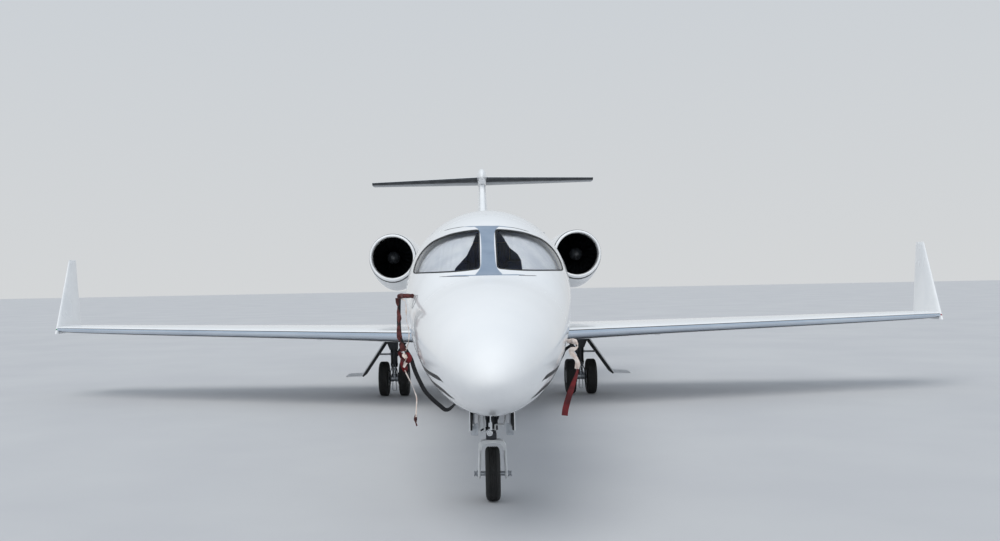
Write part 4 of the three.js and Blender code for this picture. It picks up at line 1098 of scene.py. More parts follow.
for side_name, side in SIDES:
    lip = circle_rings((11000, 356), (10900, 357), (10855, 359), (10825, 363), (10806, 369), (10800.5, 376),
                       (10801, 382))
    lip += [nacelle_ring(10808, -1.5)] + [nacelle_ring(s) for s in (10822, 10840, 10855, 10868)]
    lip += [nacelle_ring(10870, -6)] + circle_rings((10870, 380), (11000, 372))
    make(f"intake_lip_{side_name}", Form().add(hoop(lip), 0, side), LIP_ENAMEL, sharp=50)
    shell = [nacelle_ring(10876, -6), nacelle_ring(10877, 0)] + [nacelle_ring(s) for s in steps(10900, 13440, 60)]
    shell += [nacelle_ring(13449)]
    shell += circle_rings((13450, 378), (13440, 370), (12900, 364), (11000, 364), (10880, 372))
    make(f"nacelle_{side_name}_shell", Form().add(hoop(shell), 0, side), WHITE_ENAMEL,
         stands_for=f"nacelle_{side_name}", sharp=50)
    duct = circle_rings((11000, 355.5), (11100, 356), (11300, 356), (11500, 356), (11500, 360), (11000, 360))
    make(f"intake_duct_{side_name}", Form().add(hoop(duct), 0, side), DUCT_LINER_SHADE)
    core = Form()
    line = [(ENGINE_X, 0, ENGINE_Z), (ENGINE_X, 1, ENGINE_Z)]
    core.add(turned([(11240, 340), (11250, 354), (11490, 354), (11500, 340)], *line, sides=64), 0, side)
    core.add(turned([(11500, 150), (11502, 359), (13000, 359), (13060, 326), (13350, 308), (13640, 300), (13650, 297),
                     (13646, 289), (13300, 300), (13060, 310), (13000, 200)], *line, sides=96), 1, side)
    core.add(turned([(13000, 20), (13010, 185), (13200, 165), (13400, 110), (13560, 48), (13618, 12)], *line,
                    sides=48), 1, side)
    make(f"exhaust_{side_name}", core, [DUCT_LINER_SHADE, EXHAUST_ALLOY],
         stands_for=f"engine_{side_name}")
    pylon_rings = []
    for x in np.linspace(500, 1300, 12):
        lead, chord, z, thick = look_up(PYLON, x, 1, 2, 3, 4)
        pylon_rings.append(foil_ring(x, z, lead, chord, thick, 28, 2)[::-1])
    make(f"pylon_{side_name}_shell", Form().add(loft(pylon_rings), 0, side), WHITE_ENAMEL,
         stands_for=f"pylon_{side_name}")


# ---- Geometry Nodes: copies round an axis, and heads along a path ----
def new_tree(name, inputs):
    """A node group with these inputs, and its input sockets."""
    tree = bpy.data.node_groups.new(name, "GeometryNodeTree")
    for label, kind in inputs:
        tree.interface.new_socket(label, in_out="INPUT", socket_type="NodeSocket" + kind)
    tree.interface.new_socket("Form", in_out="OUTPUT", socket_type="NodeSocketGeometry")
    return tree, add_node(tree, "NodeGroupInput").outputs


def end_tree(tree, geometry, finish):
    """Turns the copies into a mesh with a finish, as the group's output."""
    real = add_node(tree, "GeometryNodeRealizeInstances", links={"Geometry": geometry})
    coat = add_node(tree, "GeometryNodeSetMaterial", links={"Geometry": real.outputs[0], "Material": finish})
    add_node(tree, "NodeGroupOutput", links={"Form": coat.outputs[0]})
    return tree


def copies_tree():
    """Copies of a form, evenly turned about the Y axis, then turned and placed as a whole."""
    tree, given = new_tree("copies_round_axis", (("Form", "Geometry"), ("Count", "Int"), ("Turn", "Vector"),
                                                 ("Centre", "Vector"), ("Finish", "Material")))
    points = add_node(tree, "GeometryNodePoints", links={"Count": given["Count"]})
    index = add_node(tree, "GeometryNodeInputIndex").outputs[0]
    part = add_node(tree, "ShaderNodeMath", {"operation": "DIVIDE"}, {0: index, 1: given["Count"]})
    angle = add_node(tree, "ShaderNodeMath", {"operation": "MULTIPLY", 1: 2 * math.pi}, {0: part.outputs[0]})
    turn = add_node(tree, "ShaderNodeCombineXYZ", links={"Y": angle.outputs[0]})
    placed = add_node(tree, "GeometryNodeInstanceOnPoints", links={
        "Points": points.outputs[0], "Instance": given["Form"], "Rotation": turn.outputs[0]})
    moved = add_node(tree, "GeometryNodeTransform", links={
        "Geometry": placed.outputs[0], "Translation": given["Centre"], "Rotation": given["Turn"]})
    return end_tree(tree, moved.outputs[0], given["Finish"])


def heads_tree():
    """Small round heads at an even spacing on a path whose points say which way they face."""
    tree, given = new_tree("heads_along_path", (("Path", "Geometry"), ("Spacing", "Float"), ("Radius", "Float"),
                                                ("Height", "Float"), ("Sides", "Int"), ("Finish", "Material")))
    curve = add_node(tree, "GeometryNodeMeshToCurve", links={"Mesh": given["Path"]})
    even = add_node(tree, "GeometryNodeResampleCurve", {"mode": "LENGTH"},
                    {"Curve": curve.outputs[0], "Length": given["Spacing"]})
    head = add_node(tree, "GeometryNodeMeshCylinder", links={
        "Vertices": given["Sides"], "Radius": given["Radius"], "Depth": given["Height"]})
    facing = add_node(tree, "GeometryNodeInputNamedAttribute", {"data_type": "FLOAT_VECTOR", "Name": "facing"})
    aligned = add_node(tree, "FunctionNodeAlignRotationToVector", {"axis": "Z"}, {"Vector": facing.outputs[0]})
    placed = add_node(tree, "GeometryNodeInstanceOnPoints", links={
        "Points": even.outputs[0], "Instance": head.outputs["Mesh"], "Rotation": aligned.outputs[0]})
    return end_tree(tree, placed.outputs[0], given["Finish"])


COPIES, HEADS = copies_tree(), heads_tree()


def grown(name, mesh, tree, values, body, sharp=35):
    """The piece that a tree grows from a mesh."""
    piece = bpy.data.objects.new(name, mesh)
    bpy.context.scene.collection.objects.link(piece)
    modifier = piece.modifiers.new(tree.name, "NODES")
    modifier.node_group = tree
    for item in tree.interface.items_tree:
        if item.in_out == "INPUT" and item.name in values:
            modifier[item.identifier] = values[item.name]
    settle(piece)
    shade(piece, sharp)
    return carry(piece, body)


def metres(x, station, z):
    """A place in the scene's metres."""
    return (x / 1000, (station - MID_LENGTH) / 1000, z / 1000)


def copies(name, shape, count, centre, finish, body, turn=(0, 0, 0)):
    """count copies of a shape, in mm about the Y axis, turned about it and set at a centre."""
    mesh = bpy.data.meshes.new(name)
    mesh.from_pydata((np.array(shape[0], float) / 1000).tolist(), [], [tuple(int(i) for i in f) for f in shape[1]])
    values = {"Count": count, "Turn": turn, "Centre": metres(*centre), "Finish": finish}
    return grown(name, mesh, COPIES, values, body)


def heads(name, paths, spacing, radius, height, finish, body="airframe", sides=8):
    """Fastener heads along paths of (points, facings) in mm."""
    points, edges, facing = [], [], []
    for path, out in paths:
        first = len(points)
        points += [metres(*p) for p in path]
        facing += [tuple(f) for f in out]
        edges += [(first + i, first + i + 1) for i in range(len(path) - 1)]
    mesh = bpy.data.meshes.new(name)
    mesh.from_pydata(points, edges, [])
    mesh.attributes.new("facing", "FLOAT_VECTOR", "POINT").data.foreach_set("vector", np.ravel(facing))
    values = {"Spacing": spacing / 1000, "Radius": radius / 1000, "Height": height / 1000, "Sides": sides,
              "Finish": finish}
    return grown(name, mesh, HEADS, values, body)


# ---- fans: swept titanium blades on a spinner ----
BLADE_ROOT, BLADE_TIP = 104, 346


def fan_blade():
    """One blade about the Y axis, from the hub to the tip, with its twist and camber."""
    rings = []
    for radius in np.linspace(BLADE_ROOT, BLADE_TIP, 16):
        share = (radius - BLADE_ROOT) / (BLADE_TIP - BLADE_ROOT)
        pitch = math.radians(38 + 27 * share)
        chord, thick = 66 + 50 * share, 6.5 - 4.3 * share
        across = np.linspace(-0.5, 0.5, 9)
        bow = 5 * (1 - (2 * across) ** 2)
        body_of = np.sqrt(np.clip(1 - (2 * across) ** 2, 0.02, 1)) * thick / 2
        outline = np.concatenate([np.stack([across * chord, bow + body_of], 1),
                                  np.stack([across * chord, bow - body_of], 1)[1:-1][::-1]])
        sweep = 10 * math.sin(math.pi * share)
        u = outline[:, 0] * math.sin(pitch) - outline[:, 1] * math.cos(pitch)
        y = outline[:, 0] * math.cos(pitch) + outline[:, 1] * math.sin(pitch) - sweep
        rings.append(np.stack([u, y, np.full(len(u), radius)], 1))
    return loft(rings)


for side_name, side in SIDES:
    rotor = f"fan_rotor_{side_name}"
    x = side * ENGINE_X
    nose = [(262 * t**1.25 * 0.99, 118 * math.sin(t * math.pi / 2) ** 0.9) for t in np.linspace(0.002, 0.62, 14)]
    spinner = turned(nose + [(166, 112), (228, 118), (238, 112)], (x, 10960, ENGINE_Z), (x, 10961, ENGINE_Z), sides=64)
    make(f"fan_spinner_{side_name}", spinner, SPINNER_ENAMEL, body=rotor,
         stands_for=f"fan_{side_name}")
    copies(f"fan_blades_{side_name}", fan_blade(), 24, (x, 11150, ENGINE_Z), FAN_TITANIUM_SHADE, rotor)
    bolt = bar((0, -12, 96), (0, -2, 96), 5, sides=6)
    copies(f"fan_bolts_{side_name}", bolt, 12, (x, 11196, ENGINE_Z), CHROME, rotor)

# ---- wheels and tyres ----
def tyre_profile(width, rim, radius, grooves, groove=3.0, depth=6.0):
    """(distance across, radius) round a tyre's section: bead, sidewall, shoulder and a grooved crown."""
    half, wall, top = width / 2, radius - rim, radius - 0.4
    flank = smooth_path([(half * 0.54, rim * 0.94 + 1), (half * 0.8, rim + 3), (half * 0.955, rim + wall * 0.26),
                         (half * 0.992, rim + wall * 0.48), (half * 0.955, rim + wall * 0.72),
                         (half * 0.85, radius - wall * 0.125), (half * 0.7, radius - wall * 0.035)], 5)
    crown = [(half * 0.52, top)]
    for place in sorted({g for share in grooves for g in (share, -share)}, reverse=True):
        at = place * half
        crown += [(at + groove, top), (at + groove - 1, top - depth), (at - groove + 1, top - depth),
                  (at - groove, top)]
    crown.append((-half * 0.52, top))
    return [(-d, r) for d, r in flank] + [(-d, r) for d, r in crown] + [tuple(p) for p in flank[::-1]]


def wheel(hub, tyre, x, gear, body, inner_side):
    """A tyre, its two-part rim and the tie bolts; inner_side says where the brake sits."""
    station, radius, width, rim, axle = gear
    centre = (x, station, radius)
    line = centre, (x + 1, station, radius)
    profile = tyre_profile(width, rim, radius, (0.13, 0.38))
    make(f"{tyre}_cover", turned(profile + profile[:1], *line, sides=80, ends=False), TYRE_RUBBER, body=body,
         stands_for=tyre, sharp=50)
    half, bore = width * 0.4, axle + 1
    flank = [(0.52, bore), (0.58, bore + 16), (0.3, rim * 0.42), (0.34, rim * 0.7), (0.62, rim * 0.82),
             (0.96, rim * 0.87), (1, rim * 0.93), (0.97, rim - 0.5), (0.85, rim - 1), (0.7, rim * 0.945)]
    rim_line = [(-half * d, r) for d, r in flank] + [(half * d, r) for d, r in flank[::-1]]
    make(f"{hub}_rim", turned(rim_line + rim_line[:1], *line, sides=64, ends=False), LIGHT_GEAR_ENAMEL, body=body,
         stands_for=hub)
    bolt = bar((0, -half * 0.52, rim * 0.56), (0, half * 0.52, rim * 0.56), rim * 0.055, sides=6)
    copies(f"{hub}_tie_bolts", bolt, 10, centre, CHROME, body, (0, 0, math.pi / 2))
    cap = turned([(half * 0.3, bore + 18), (half * 0.72, bore + 12), (half * 0.8, bore + 4), (half * 0.8, 2)],
                 centre, (x - inner_side, station, radius), sides=32)
    make(f"{hub}_cap", cap, CAST_ALUMINIUM, body=body)


# station, radius, width, rim radius and axle radius
NOSE_WHEEL = (NOSE_STATION, NOSE_AXLE, 128, 105, 20)
MAIN_WHEEL = (MAIN_STATION, MAIN_AXLE, 165, 128, 30)
wheel("nose_wheel_hub", "nose_tyre", 0, NOSE_WHEEL, "nose_wheel", 1)
for side_name, side in SIDES:
    for place, away in (("inner", -1), ("outer", 1)):
        wheel(f"main_hub_{side_name}_{place}", f"main_tyre_{side_name}_{place}", side * (MAIN_X + away * 165),
              MAIN_WHEEL, f"main_wheels_{side_name}", -away * side)

# ---- nose gear ----
def belly_z(x, station):
    """Height of the skin's underside at x."""
    _, bottom, half, wide, fullness = section(station, BODY)
    share = 1 - (np.abs(x) / half) ** fullness
    return wide - (wide - bottom) * np.maximum(share, 0) ** (1 / fullness)


bay = Form()
bay_corners = corners(-BAY_HALF - 1, BAY_FRONT - 2, BAY_HALF + 1, BAY_BACK + 2)
for a, b in zip(bay_corners, bay_corners[1:] + bay_corners[:1]):
    t = np.linspace(0, 1, 14)
    xs, stations = a[0] + (b[0] - a[0]) * t, a[1] + (b[1] - a[1]) * t
    foot = belly_z(np.clip(xs, -BAY_HALF, BAY_HALF), stations) + 3
    away = np.array([b[1] - a[1], a[0] - b[0]], float)
    u, v = away / np.linalg.norm(away) * 4
    rings = [[(x, s, z), (x, s, 1002), (x + u, s + v, 1002), (x + u, s + v, z)] for x, s, z in zip(xs, stations, foot)]
    bay.add(loft(rings))
bay.add(block((-BAY_HALF - 5, BAY_FRONT - 6, 1001), (BAY_HALF + 5, BAY_BACK + 6, 1006), 1))
for station in (1420, 1600, 1790, 2080):
    bay.add(block((-BAY_HALF, station, 975), (BAY_HALF, station + 8, 1002), 2))
    for edge in (1, -1):
        bay.add(block((edge * 158 - 12, station, 880), (edge * 158 + 12, station + 8, 1000), 2))
make("nose_gear_bay", bay, BAY_PAINT)


def torque_link(root, tip, half_root, half_tip, radius):
    """The outline of a tapered link from root to tip, both as (station, height)."""
    return rounded([(root[0], root[1] - half_root), (tip[0], tip[1] - half_tip), (tip[0], tip[1] + half_tip),
                    (root[0], root[1] + half_root)], radius)


leg = Form()
at = (0, NOSE_STATION)
leg.add(turned([(0, 40), (4, 47), (60, 47), (62, 50), (96, 50), (98, 46), (152, 46), (154, 62), (158, 65), (196, 65),
                (200, 60), (202, 47), (384, 47), (388, 40)], (*at, 612), (*at, 613), sides=40), 0)
leg.add(bar((0, 1918, 800), (0, 1390, 974), 19, sides=20), 0)
leg.add(bar((0, 1880, 812), (0, 1640, 892), 24, sides=20), 0)
leg.add(block((-30, 1352, 950), (30, 1420, 1000), 6), 0)
leg.add(bar((-60, 1386, 974), (60, 1386, 974), 14), 2)
for edge in (1, -1):
    leg.add(bar((edge * 42, NOSE_STATION - 34, 604), (edge * 42, NOSE_STATION - 30, 760), 8.5), 0)
    leg.add(bar((edge * 44, NOSE_STATION + 6, 690), (edge * 150, NOSE_STATION + 40, 985), 13), 0)
leg.add(bar((-12, NOSE_STATION - 44, 604), (-12, NOSE_STATION - 44, 760), 19, sides=24), 3)
leg.add(tube([(98, 1902, 650), (60, 1896, 653), (32, 1896, 652), (27, 1896, 640), (26, 1898, 604)], 7.5), 1)
leg.add(tube([(100, 1902, 652), (112, 1906, 700), (118, 1930, 800), (112, 1950, 900), (100, 1960, 990)], 6), 1)
for x in (-105, -63):
    leg.add(bar((x, 1800, 606), (x * 1.04, 1770, 996), 8), 1)
    leg.add(bar((x, 1800, 612), (x * 0.5, NOSE_STATION - 30, 622), 7), 0)
plate = rounded([(1, 600), (62, 600), (62, 660), (20, 700), (1, 700)], 12)
for edge in (1, -1):
    points, faces = prism(plate * (edge, 1), 1652, 1657, axis=1, ease=1)
    leg.add((points + (edge * 114, 0, 0), faces if edge > 0 else [f[::-1] for f in faces]), 2)
    leg.add(bar((edge * 150, 1655, 690), (edge * 152, 1655, 985), 7), 2)
make("nose_leg_struts", leg, [GEAR_ENAMEL, LIGHT_GEAR_ENAMEL, CAST_ALUMINIUM, CHROME],
     stands_for="nose_gear_leg")
lamp = Form()
lamp_line = (-20, 1902, 584), (-20, 1870, 583)
lamp.add(turned([(0, 14), (3, 24), (26, 27), (30, 25), (30, 20), (24, 18)], *lamp_line, sides=32), 0)
lamp.add(turned([(25, 3), (27, 12), (25.5, 19.5), (22, 19.5)], *lamp_line, sides=32), 1)
make("taxi_lamp", lamp, [CHROME, LAMP_LENS])

fork = Form()
fork.add(turned([(0, 30), (2, 39.5), (70, 39.5), (74, 36), (98, 36), (99, 30)], (*at, 500), (*at, 501), sides=36), 0)
fork.add(block((-52, NOSE_STATION - 52, 524), (34, NOSE_STATION - 34, 584), 5), 0)
outer = [(-120, 432), (-117, 474), (-98, 506), (-60, 521), (60, 521), (98, 506), (117, 474), (120, 432)]
inner = [(96, 432), (92, 462), (74, 484), (40, 495), (0, 498), (-40, 495), (-74, 484), (-92, 462), (-96, 432)]
fork.add(prism(outer + inner, NOSE_STATION - 56, NOSE_STATION + 56, axis=1, ease=3), 1)
for edge in (1, -1):
    rings = []
    for z, x, half_x, half_y in ((446, 108, 11.5, 46), (380, 109, 11.5, 38), (300, 112, 11.5, 33), (262, 114, 12, 34),
                                 (228, 115, 12.5, 38), (200, 115, 12, 33), (189, 115, 8, 22)):
        c, s = np.cos(circle(24)), np.sin(circle(24))
        rings.append(np.stack([edge * x + half_x * np.sign(c) * np.abs(c) ** 0.45,
                               NOSE_STATION + half_y * np.sign(s) * np.abs(s) ** 0.45, np.full(24, z)], 1)[::-1])
    fork.add(loft(rings), 1)
    fork.add(turned([(0, 22), (2, 26), (22, 26), (26, 22), (26, 17), (34, 17), (37, 25), (43, 25), (45, 21)],
                    (edge * 115, NOSE_STATION, NOSE_AXLE), (edge * 160, NOSE_STATION, NOSE_AXLE), sides=28), 2)
fork.add(bar((-118, NOSE_STATION, NOSE_AXLE), (118, NOSE_STATION, NOSE_AXLE), 19.5), 2)
for z0, z1 in ((590, 556), (512, 552)):
    link = torque_link((NOSE_STATION + 36, z0), (NOSE_STATION + 112, z1), 14, 9, 8)
    fork.add(prism(link, -26, -14, axis=0, ease=2), 2)
    fork.add(prism(link, 14, 26, axis=0, ease=2), 2)
fork.add(bar((-30, NOSE_STATION + 110, 554), (30, NOSE_STATION + 110, 554), 8), 2)
make("nose_fork_frame", fork, [GEAR_ENAMEL, LIGHT_GEAR_ENAMEL, CAST_ALUMINIUM], body="nose_steering_fork",
     stands_for="nose_fork")

stations = np.linspace(1562, 2188, 22)
outline = [(1562, 672), (1574, 648), (1600, 641), (2150, 641), (2176, 648), (2188, 672)]
outline += list(zip(stations, belly_z(183, stations) - 5))[::-1]
lining = [(s + (1875 - s) * 0.02, z + (730 - z) * 0.05) for s, z in outline]
for side_name, side in SIDES:
    door = Form().add(prism(outline, 179, 187, axis=0, ease=1.5), 0, side)
    door.add(prism(lining, 176, 179.5, axis=0, ease=0.5), 1, side)
    for low, high in (((1572, 650), (1590, 780)), ((2160, 650), (2178, 768)), ((1590, 650), (2160, 668)),
                      ((1780, 668), (1794, 770)), ((1980, 668), (1994, 766))):
        door.add(block((163, *low), (178, *high), 3), 1, side)
    for station in (1640, 1880, 2110):
        door.add(tube([(170, station, 700), (160, station, 800), (150, station, 880)], 7, 8), 1, side)
    make(f"nose_door_{side_name}_panel", door, [WHITE_ENAMEL, BAY_PAINT],
         stands_for=f"nose_gear_door_{side_name}")

# ---- main gear ----
for side_name, side in SIDES:
    leg = Form()
    x, station = MAIN_X, MAIN_STATION
    leg.add(turned([(0, 50), (4, 57), (30, 57), (34, 61), (60, 61), (64, 56), (236, 56), (240, 60), (262, 60),
                    (266, 56), (560, 56), (562, 40)], (x, station, 470), (x, station, 471), sides=40), 0, side)
    leg.add(bar((x, station, 300), (x, station, 474), 38, sides=32), 3, side)
    leg.add(turned([(0, 40), (3, 52), (44, 54), (48, 47), (72, 47), (76, 54), (117, 52), (120, 40)],
                   (x - 60, station, MAIN_AXLE), (x + 60, station, MAIN_AXLE), sides=36), 2, side)
    leg.add(turned([(0, 44), (4, 50), (52, 50), (56, 44)], (x, station, 306), (x, station, 380), sides=32), 2, side)
    leg.add(bar((x - 223, station, MAIN_AXLE), (x + 223, station, MAIN_AXLE), 28), 2, side)
    leg.add(bar((x - 20, station, 630), (x - 300, station, 1040), 27), 0, side)
    leg.add(bar((x, station, 700), (x - 20, station + 240, 1000), 24), 0, side)
    leg.add(bar((x, station, 680), (1786, station, 680), 14), 2, side)
    leg.add(turned([(0, 20), (20, 22), (22, 14)], (x + 50, station, 680), (x + 90, station, 680), sides=20), 2, side)
    for sign in (1, -1):
        for z0, z1 in ((520, 438), (322, 434)):
            link = torque_link((station - 46, z0), (station - 128, z1), 18, 11, 9)
            leg.add(prism(link, x + sign * 22 - 6, x + sign * 22 + 6, axis=0, ease=2), 2, side)
        leg.add(turned([(0, 60), (2, 96), (18, 100), (20, 60)], (x + sign * 62, station, MAIN_AXLE),
                       (x + sign * 90, station, MAIN_AXLE), sides=40), 0, side)
        hose = [(x + sign * away, station - ahead_by, z)
                for away, ahead_by, z in ((66, 20, 300), (60, 64, 380), (30, 66, 500), (26, 62, 640), (30, 40, 980))]
        leg.add(tube(hose, 6.5, 10), 4, side)
    leg.add(bar((x - 34, station - 126, 436), (x + 34, station - 126, 436), 9), 2, side)
    # The upper casting is drawn wide and dark, partly as painted shade over the linkages behind the leg
    head = rounded([(x - 62, 740), (x + 62, 740), (x + 140, 940), (x + 146, 1005), (x - 78, 1005), (x - 74, 940)], 26)
    leg.add(prism(head, station - 58, station + 62, axis=1, ease=12), 0, side)
    ring = [(x + away, station - 40, z)
            for away, z in ((-26, 232), (-30, 150), (-26, 96), (0, 90), (26, 96), (30, 150), (26, 232))]
    leg.add(tube(ring, 7, 10), 1, side)
    make(f"main_leg_{side_name}_struts", leg, [GEAR_ENAMEL, LIGHT_GEAR_ENAMEL, CAST_ALUMINIUM, CHROME, BLACK_RUBBER_AND_REFLECTION],
         stands_for=f"main_leg_{side_name}")
    for sign in (1, -1):
        piston = bar((0, 0, 78), (0, 9, 78), 13, sides=16)
        copies(f"brake_pistons_{side_name}_{'outer' if sign > 0 else 'inner'}", piston, 5,
               (side * x + sign * 84, station, MAIN_AXLE), CAST_ALUMINIUM, "airframe",
               (0, 0, math.pi / 2))
    line = [(1592, 1000), (2030, 356), (2290, 346), (2290, 334), (2023, 343), (1578, 990)]
    front, back = station - 239, station + 239
    door = Form().add(prism(line, front, back, axis=1, ease=3), 0, side)
    door.add(prism([(1578, 988), (2022, 342.5), (2019, 340), (1575, 986)], front + 6, back - 6, axis=1), 1, side)
    for rib in (front + 2, front + 155, front + 310, back - 16):
        door.add(prism([(1586, 972), (2021, 342), (1996, 334), (1566, 958)], rib, rib + 14, axis=1, ease=2), 1, side)
    door.add(prism([(2030, 355), (2280, 347), (2280, 352), (2034, 362)], front + 8, back - 8, axis=1, ease=1), 2, side)
    make(f"main_door_{side_name}_panel", door, [WHITE_ENAMEL, BAY_PAINT, CAST_ALUMINIUM],
         stands_for=f"main_gear_door_{side_name}")


# ---- cloth: sunshades, probe covers, streamers and the strap ----
def area_of(shape):
    """The area of a sheet's faces."""
    points, faces = np.asarray(shape[0], float), shape[1]
    total = 0.0
    for face in faces:
        ring = points[list(face)]
        total += np.linalg.norm(np.cross(ring[1:-1] - ring[0], ring[2:] - ring[0]).sum(0)) / 2
    return total


def cloth(name, shape, finish, size, stands_for=(), wall=1.6):
    """A thin sheet. size is its cut width and length in mm; the outline's area is measured against them, but nothing
    uses either further.
    """
    area, width, length = area_of(shape) / 1e6, size[0] / 1000, size[1] / 1000
    piece = make(name, shape, finish, stands_for=stands_for, wall=wall, sharp=60)
    if area > width * length:
        length = area / width
    return piece


def strip(path, widths, twist, steps_each=10, curl=0.08, away=(0, 1, 0)):
    """A narrow band along a path; twist in degrees turns it about its own line, curl bows it across."""
    path = np.asarray(smooth_path(path, steps_each), float)
    share = np.linspace(0, 1, len(path))
    widths = np.interp(share, np.linspace(0, 1, len(widths)), widths)
    twist = np.radians(np.interp(share, np.linspace(0, 1, len(twist)), twist))
    along = unit(np.gradient(path, axis=0))
    flat = unit(np.cross(along, away))
    up = np.cross(flat, along)
    across = flat * np.cos(twist)[:, None] + up * np.sin(twist)[:, None]
    out = np.cross(across, along)
    rows = []
    for t in np.linspace(-1, 1, 5):
        rows.append(path + across * (widths / 2 * t)[:, None] + out * (widths * curl * (1 - t * t))[:, None])
    points = np.stack(rows, 1)
    length = float(np.linalg.norm(np.diff(path, axis=0), axis=1).sum())
    return (points.reshape(-1, 3), grid(len(path), 5)), (float(widths.max()), length)


# Sunshades: thin metallised cloth, gathered into soft upright folds behind the outer part of each pane
SHADE_EDGES = {
    "port": [(109, 2360), (109, 2345), (151, 2268), (199, 2170), (268, 2109), (296, 2050), (297, 1976), (297, 1930)],
    "starboard": [(94, 2360), (94, 2340), (143, 2203), (192, 2100), (250, 2036), (290, 1990), (306, 1950), (310, 1930)],
}
for side_name, side in SIDES:
    edge = np.array(SHADE_EDGES[side_name], float)[::-1]
    turns = np.linspace(0.05, 1.5, 150) if side > 0 else np.linspace(2 * math.pi - 1.5, 2 * math.pi - 0.05, 150)
    shade_skin = clip(skin_patch(steps(1900, 3330, 18), turns, 62), in_screen(10))
    points, faces = clip(shade_skin, lambda p: np.abs(p[:, 0]) - np.interp(p[:, 2], edge[:, 1], edge[:, 0]))
    x = np.abs(points[:, 0])
    lift = (points[:, 2] - 1930) / 430
    fold = 5.5 * np.sin(x / 17 + 1.2 * np.sin(x / 60) + 2.2 * lift) * (0.35 + 0.65 * np.clip(1 - lift, 0, 1))
    fold += 2.2 * np.sin(x / 7.5 + 3 * lift) * np.clip(lift, 0, 1)
    hem = np.clip((x - np.interp(points[:, 2], edge[:, 1], edge[:, 0])) / 16, 0, 1)
    points = points - np.stack([np.zeros(len(x)), -np.abs(fold) * hem, fold * 0.3 * hem], 1)
    cloth(f"cockpit_sunshade_{side_name}", (points, faces), SHADE_CLOTH, (690, 620),
          stands_for=f"sunshade_{side_name}", wall=1.4)

# Probe covers: sewn cloth sleeves on the two probes, creased where they are drawn in
for side_name, side, station, z, reach, ahead_by, finish in (
        ("starboard", -1, 2350, 1750, 130, 190, MAROON_CLOTH), ("port", 1, 2200, 1330, 70, 150, CANVAS_CLOTH)):
    root = skin_x(station + 20, z)
    elbow = root + reach - 24
    line = smooth_path([(root + 2, station + 20, z), (root + reach * 0.45, station + 19, z), (elbow, station + 6, z),
                        (elbow + 12, station - 24, z), (elbow + 12, station - ahead_by * 0.6, z - 1),
                        (elbow + 12, station + 20 - ahead_by, z - 2)], 9)
    count = len(line)
    along = unit(np.gradient(line, axis=0))
    side_way = unit(np.cross(along, (0, 0, 1)))
    up = np.cross(side_way, along)
    share = np.linspace(0, 1, count)
    girth = np.interp(share, [0, 0.04, 0.3, 0.42, 0.5, 0.9, 0.97, 1], [17, 19, 18, 21, 22.5, 20, 16, 3])
    turn = circle(28)
    rings = []
    for i in range(count):
        crease = 1 + 0.06 * np.sin(3 * turn + 9 * share[i]) + 0.045 * np.sin(7 * turn - 21 * share[i])
        crease *= 1 - 0.16 * math.exp(-((share[i] - 0.1) / 0.03) ** 2)
        r = girth[i] * crease
        rings.append(line[i] + side_way[i] * (r * np.cos(turn))[:, None] + up[i] * (r * np.sin(turn))[:, None])
    rings = np.array(rings) * (side, 1, 1)
    sleeve = rings.reshape(-1, 3), [f[::side] for f in grid(count, 28, True)]
    length = float(np.linalg.norm(np.diff(line, axis=0), axis=1).sum())
    cloth(f"probe_cover_sleeve_{side_name}", sleeve, finish, (math.pi * 40, length),
          stands_for=f"probe_cover_{side_name}")

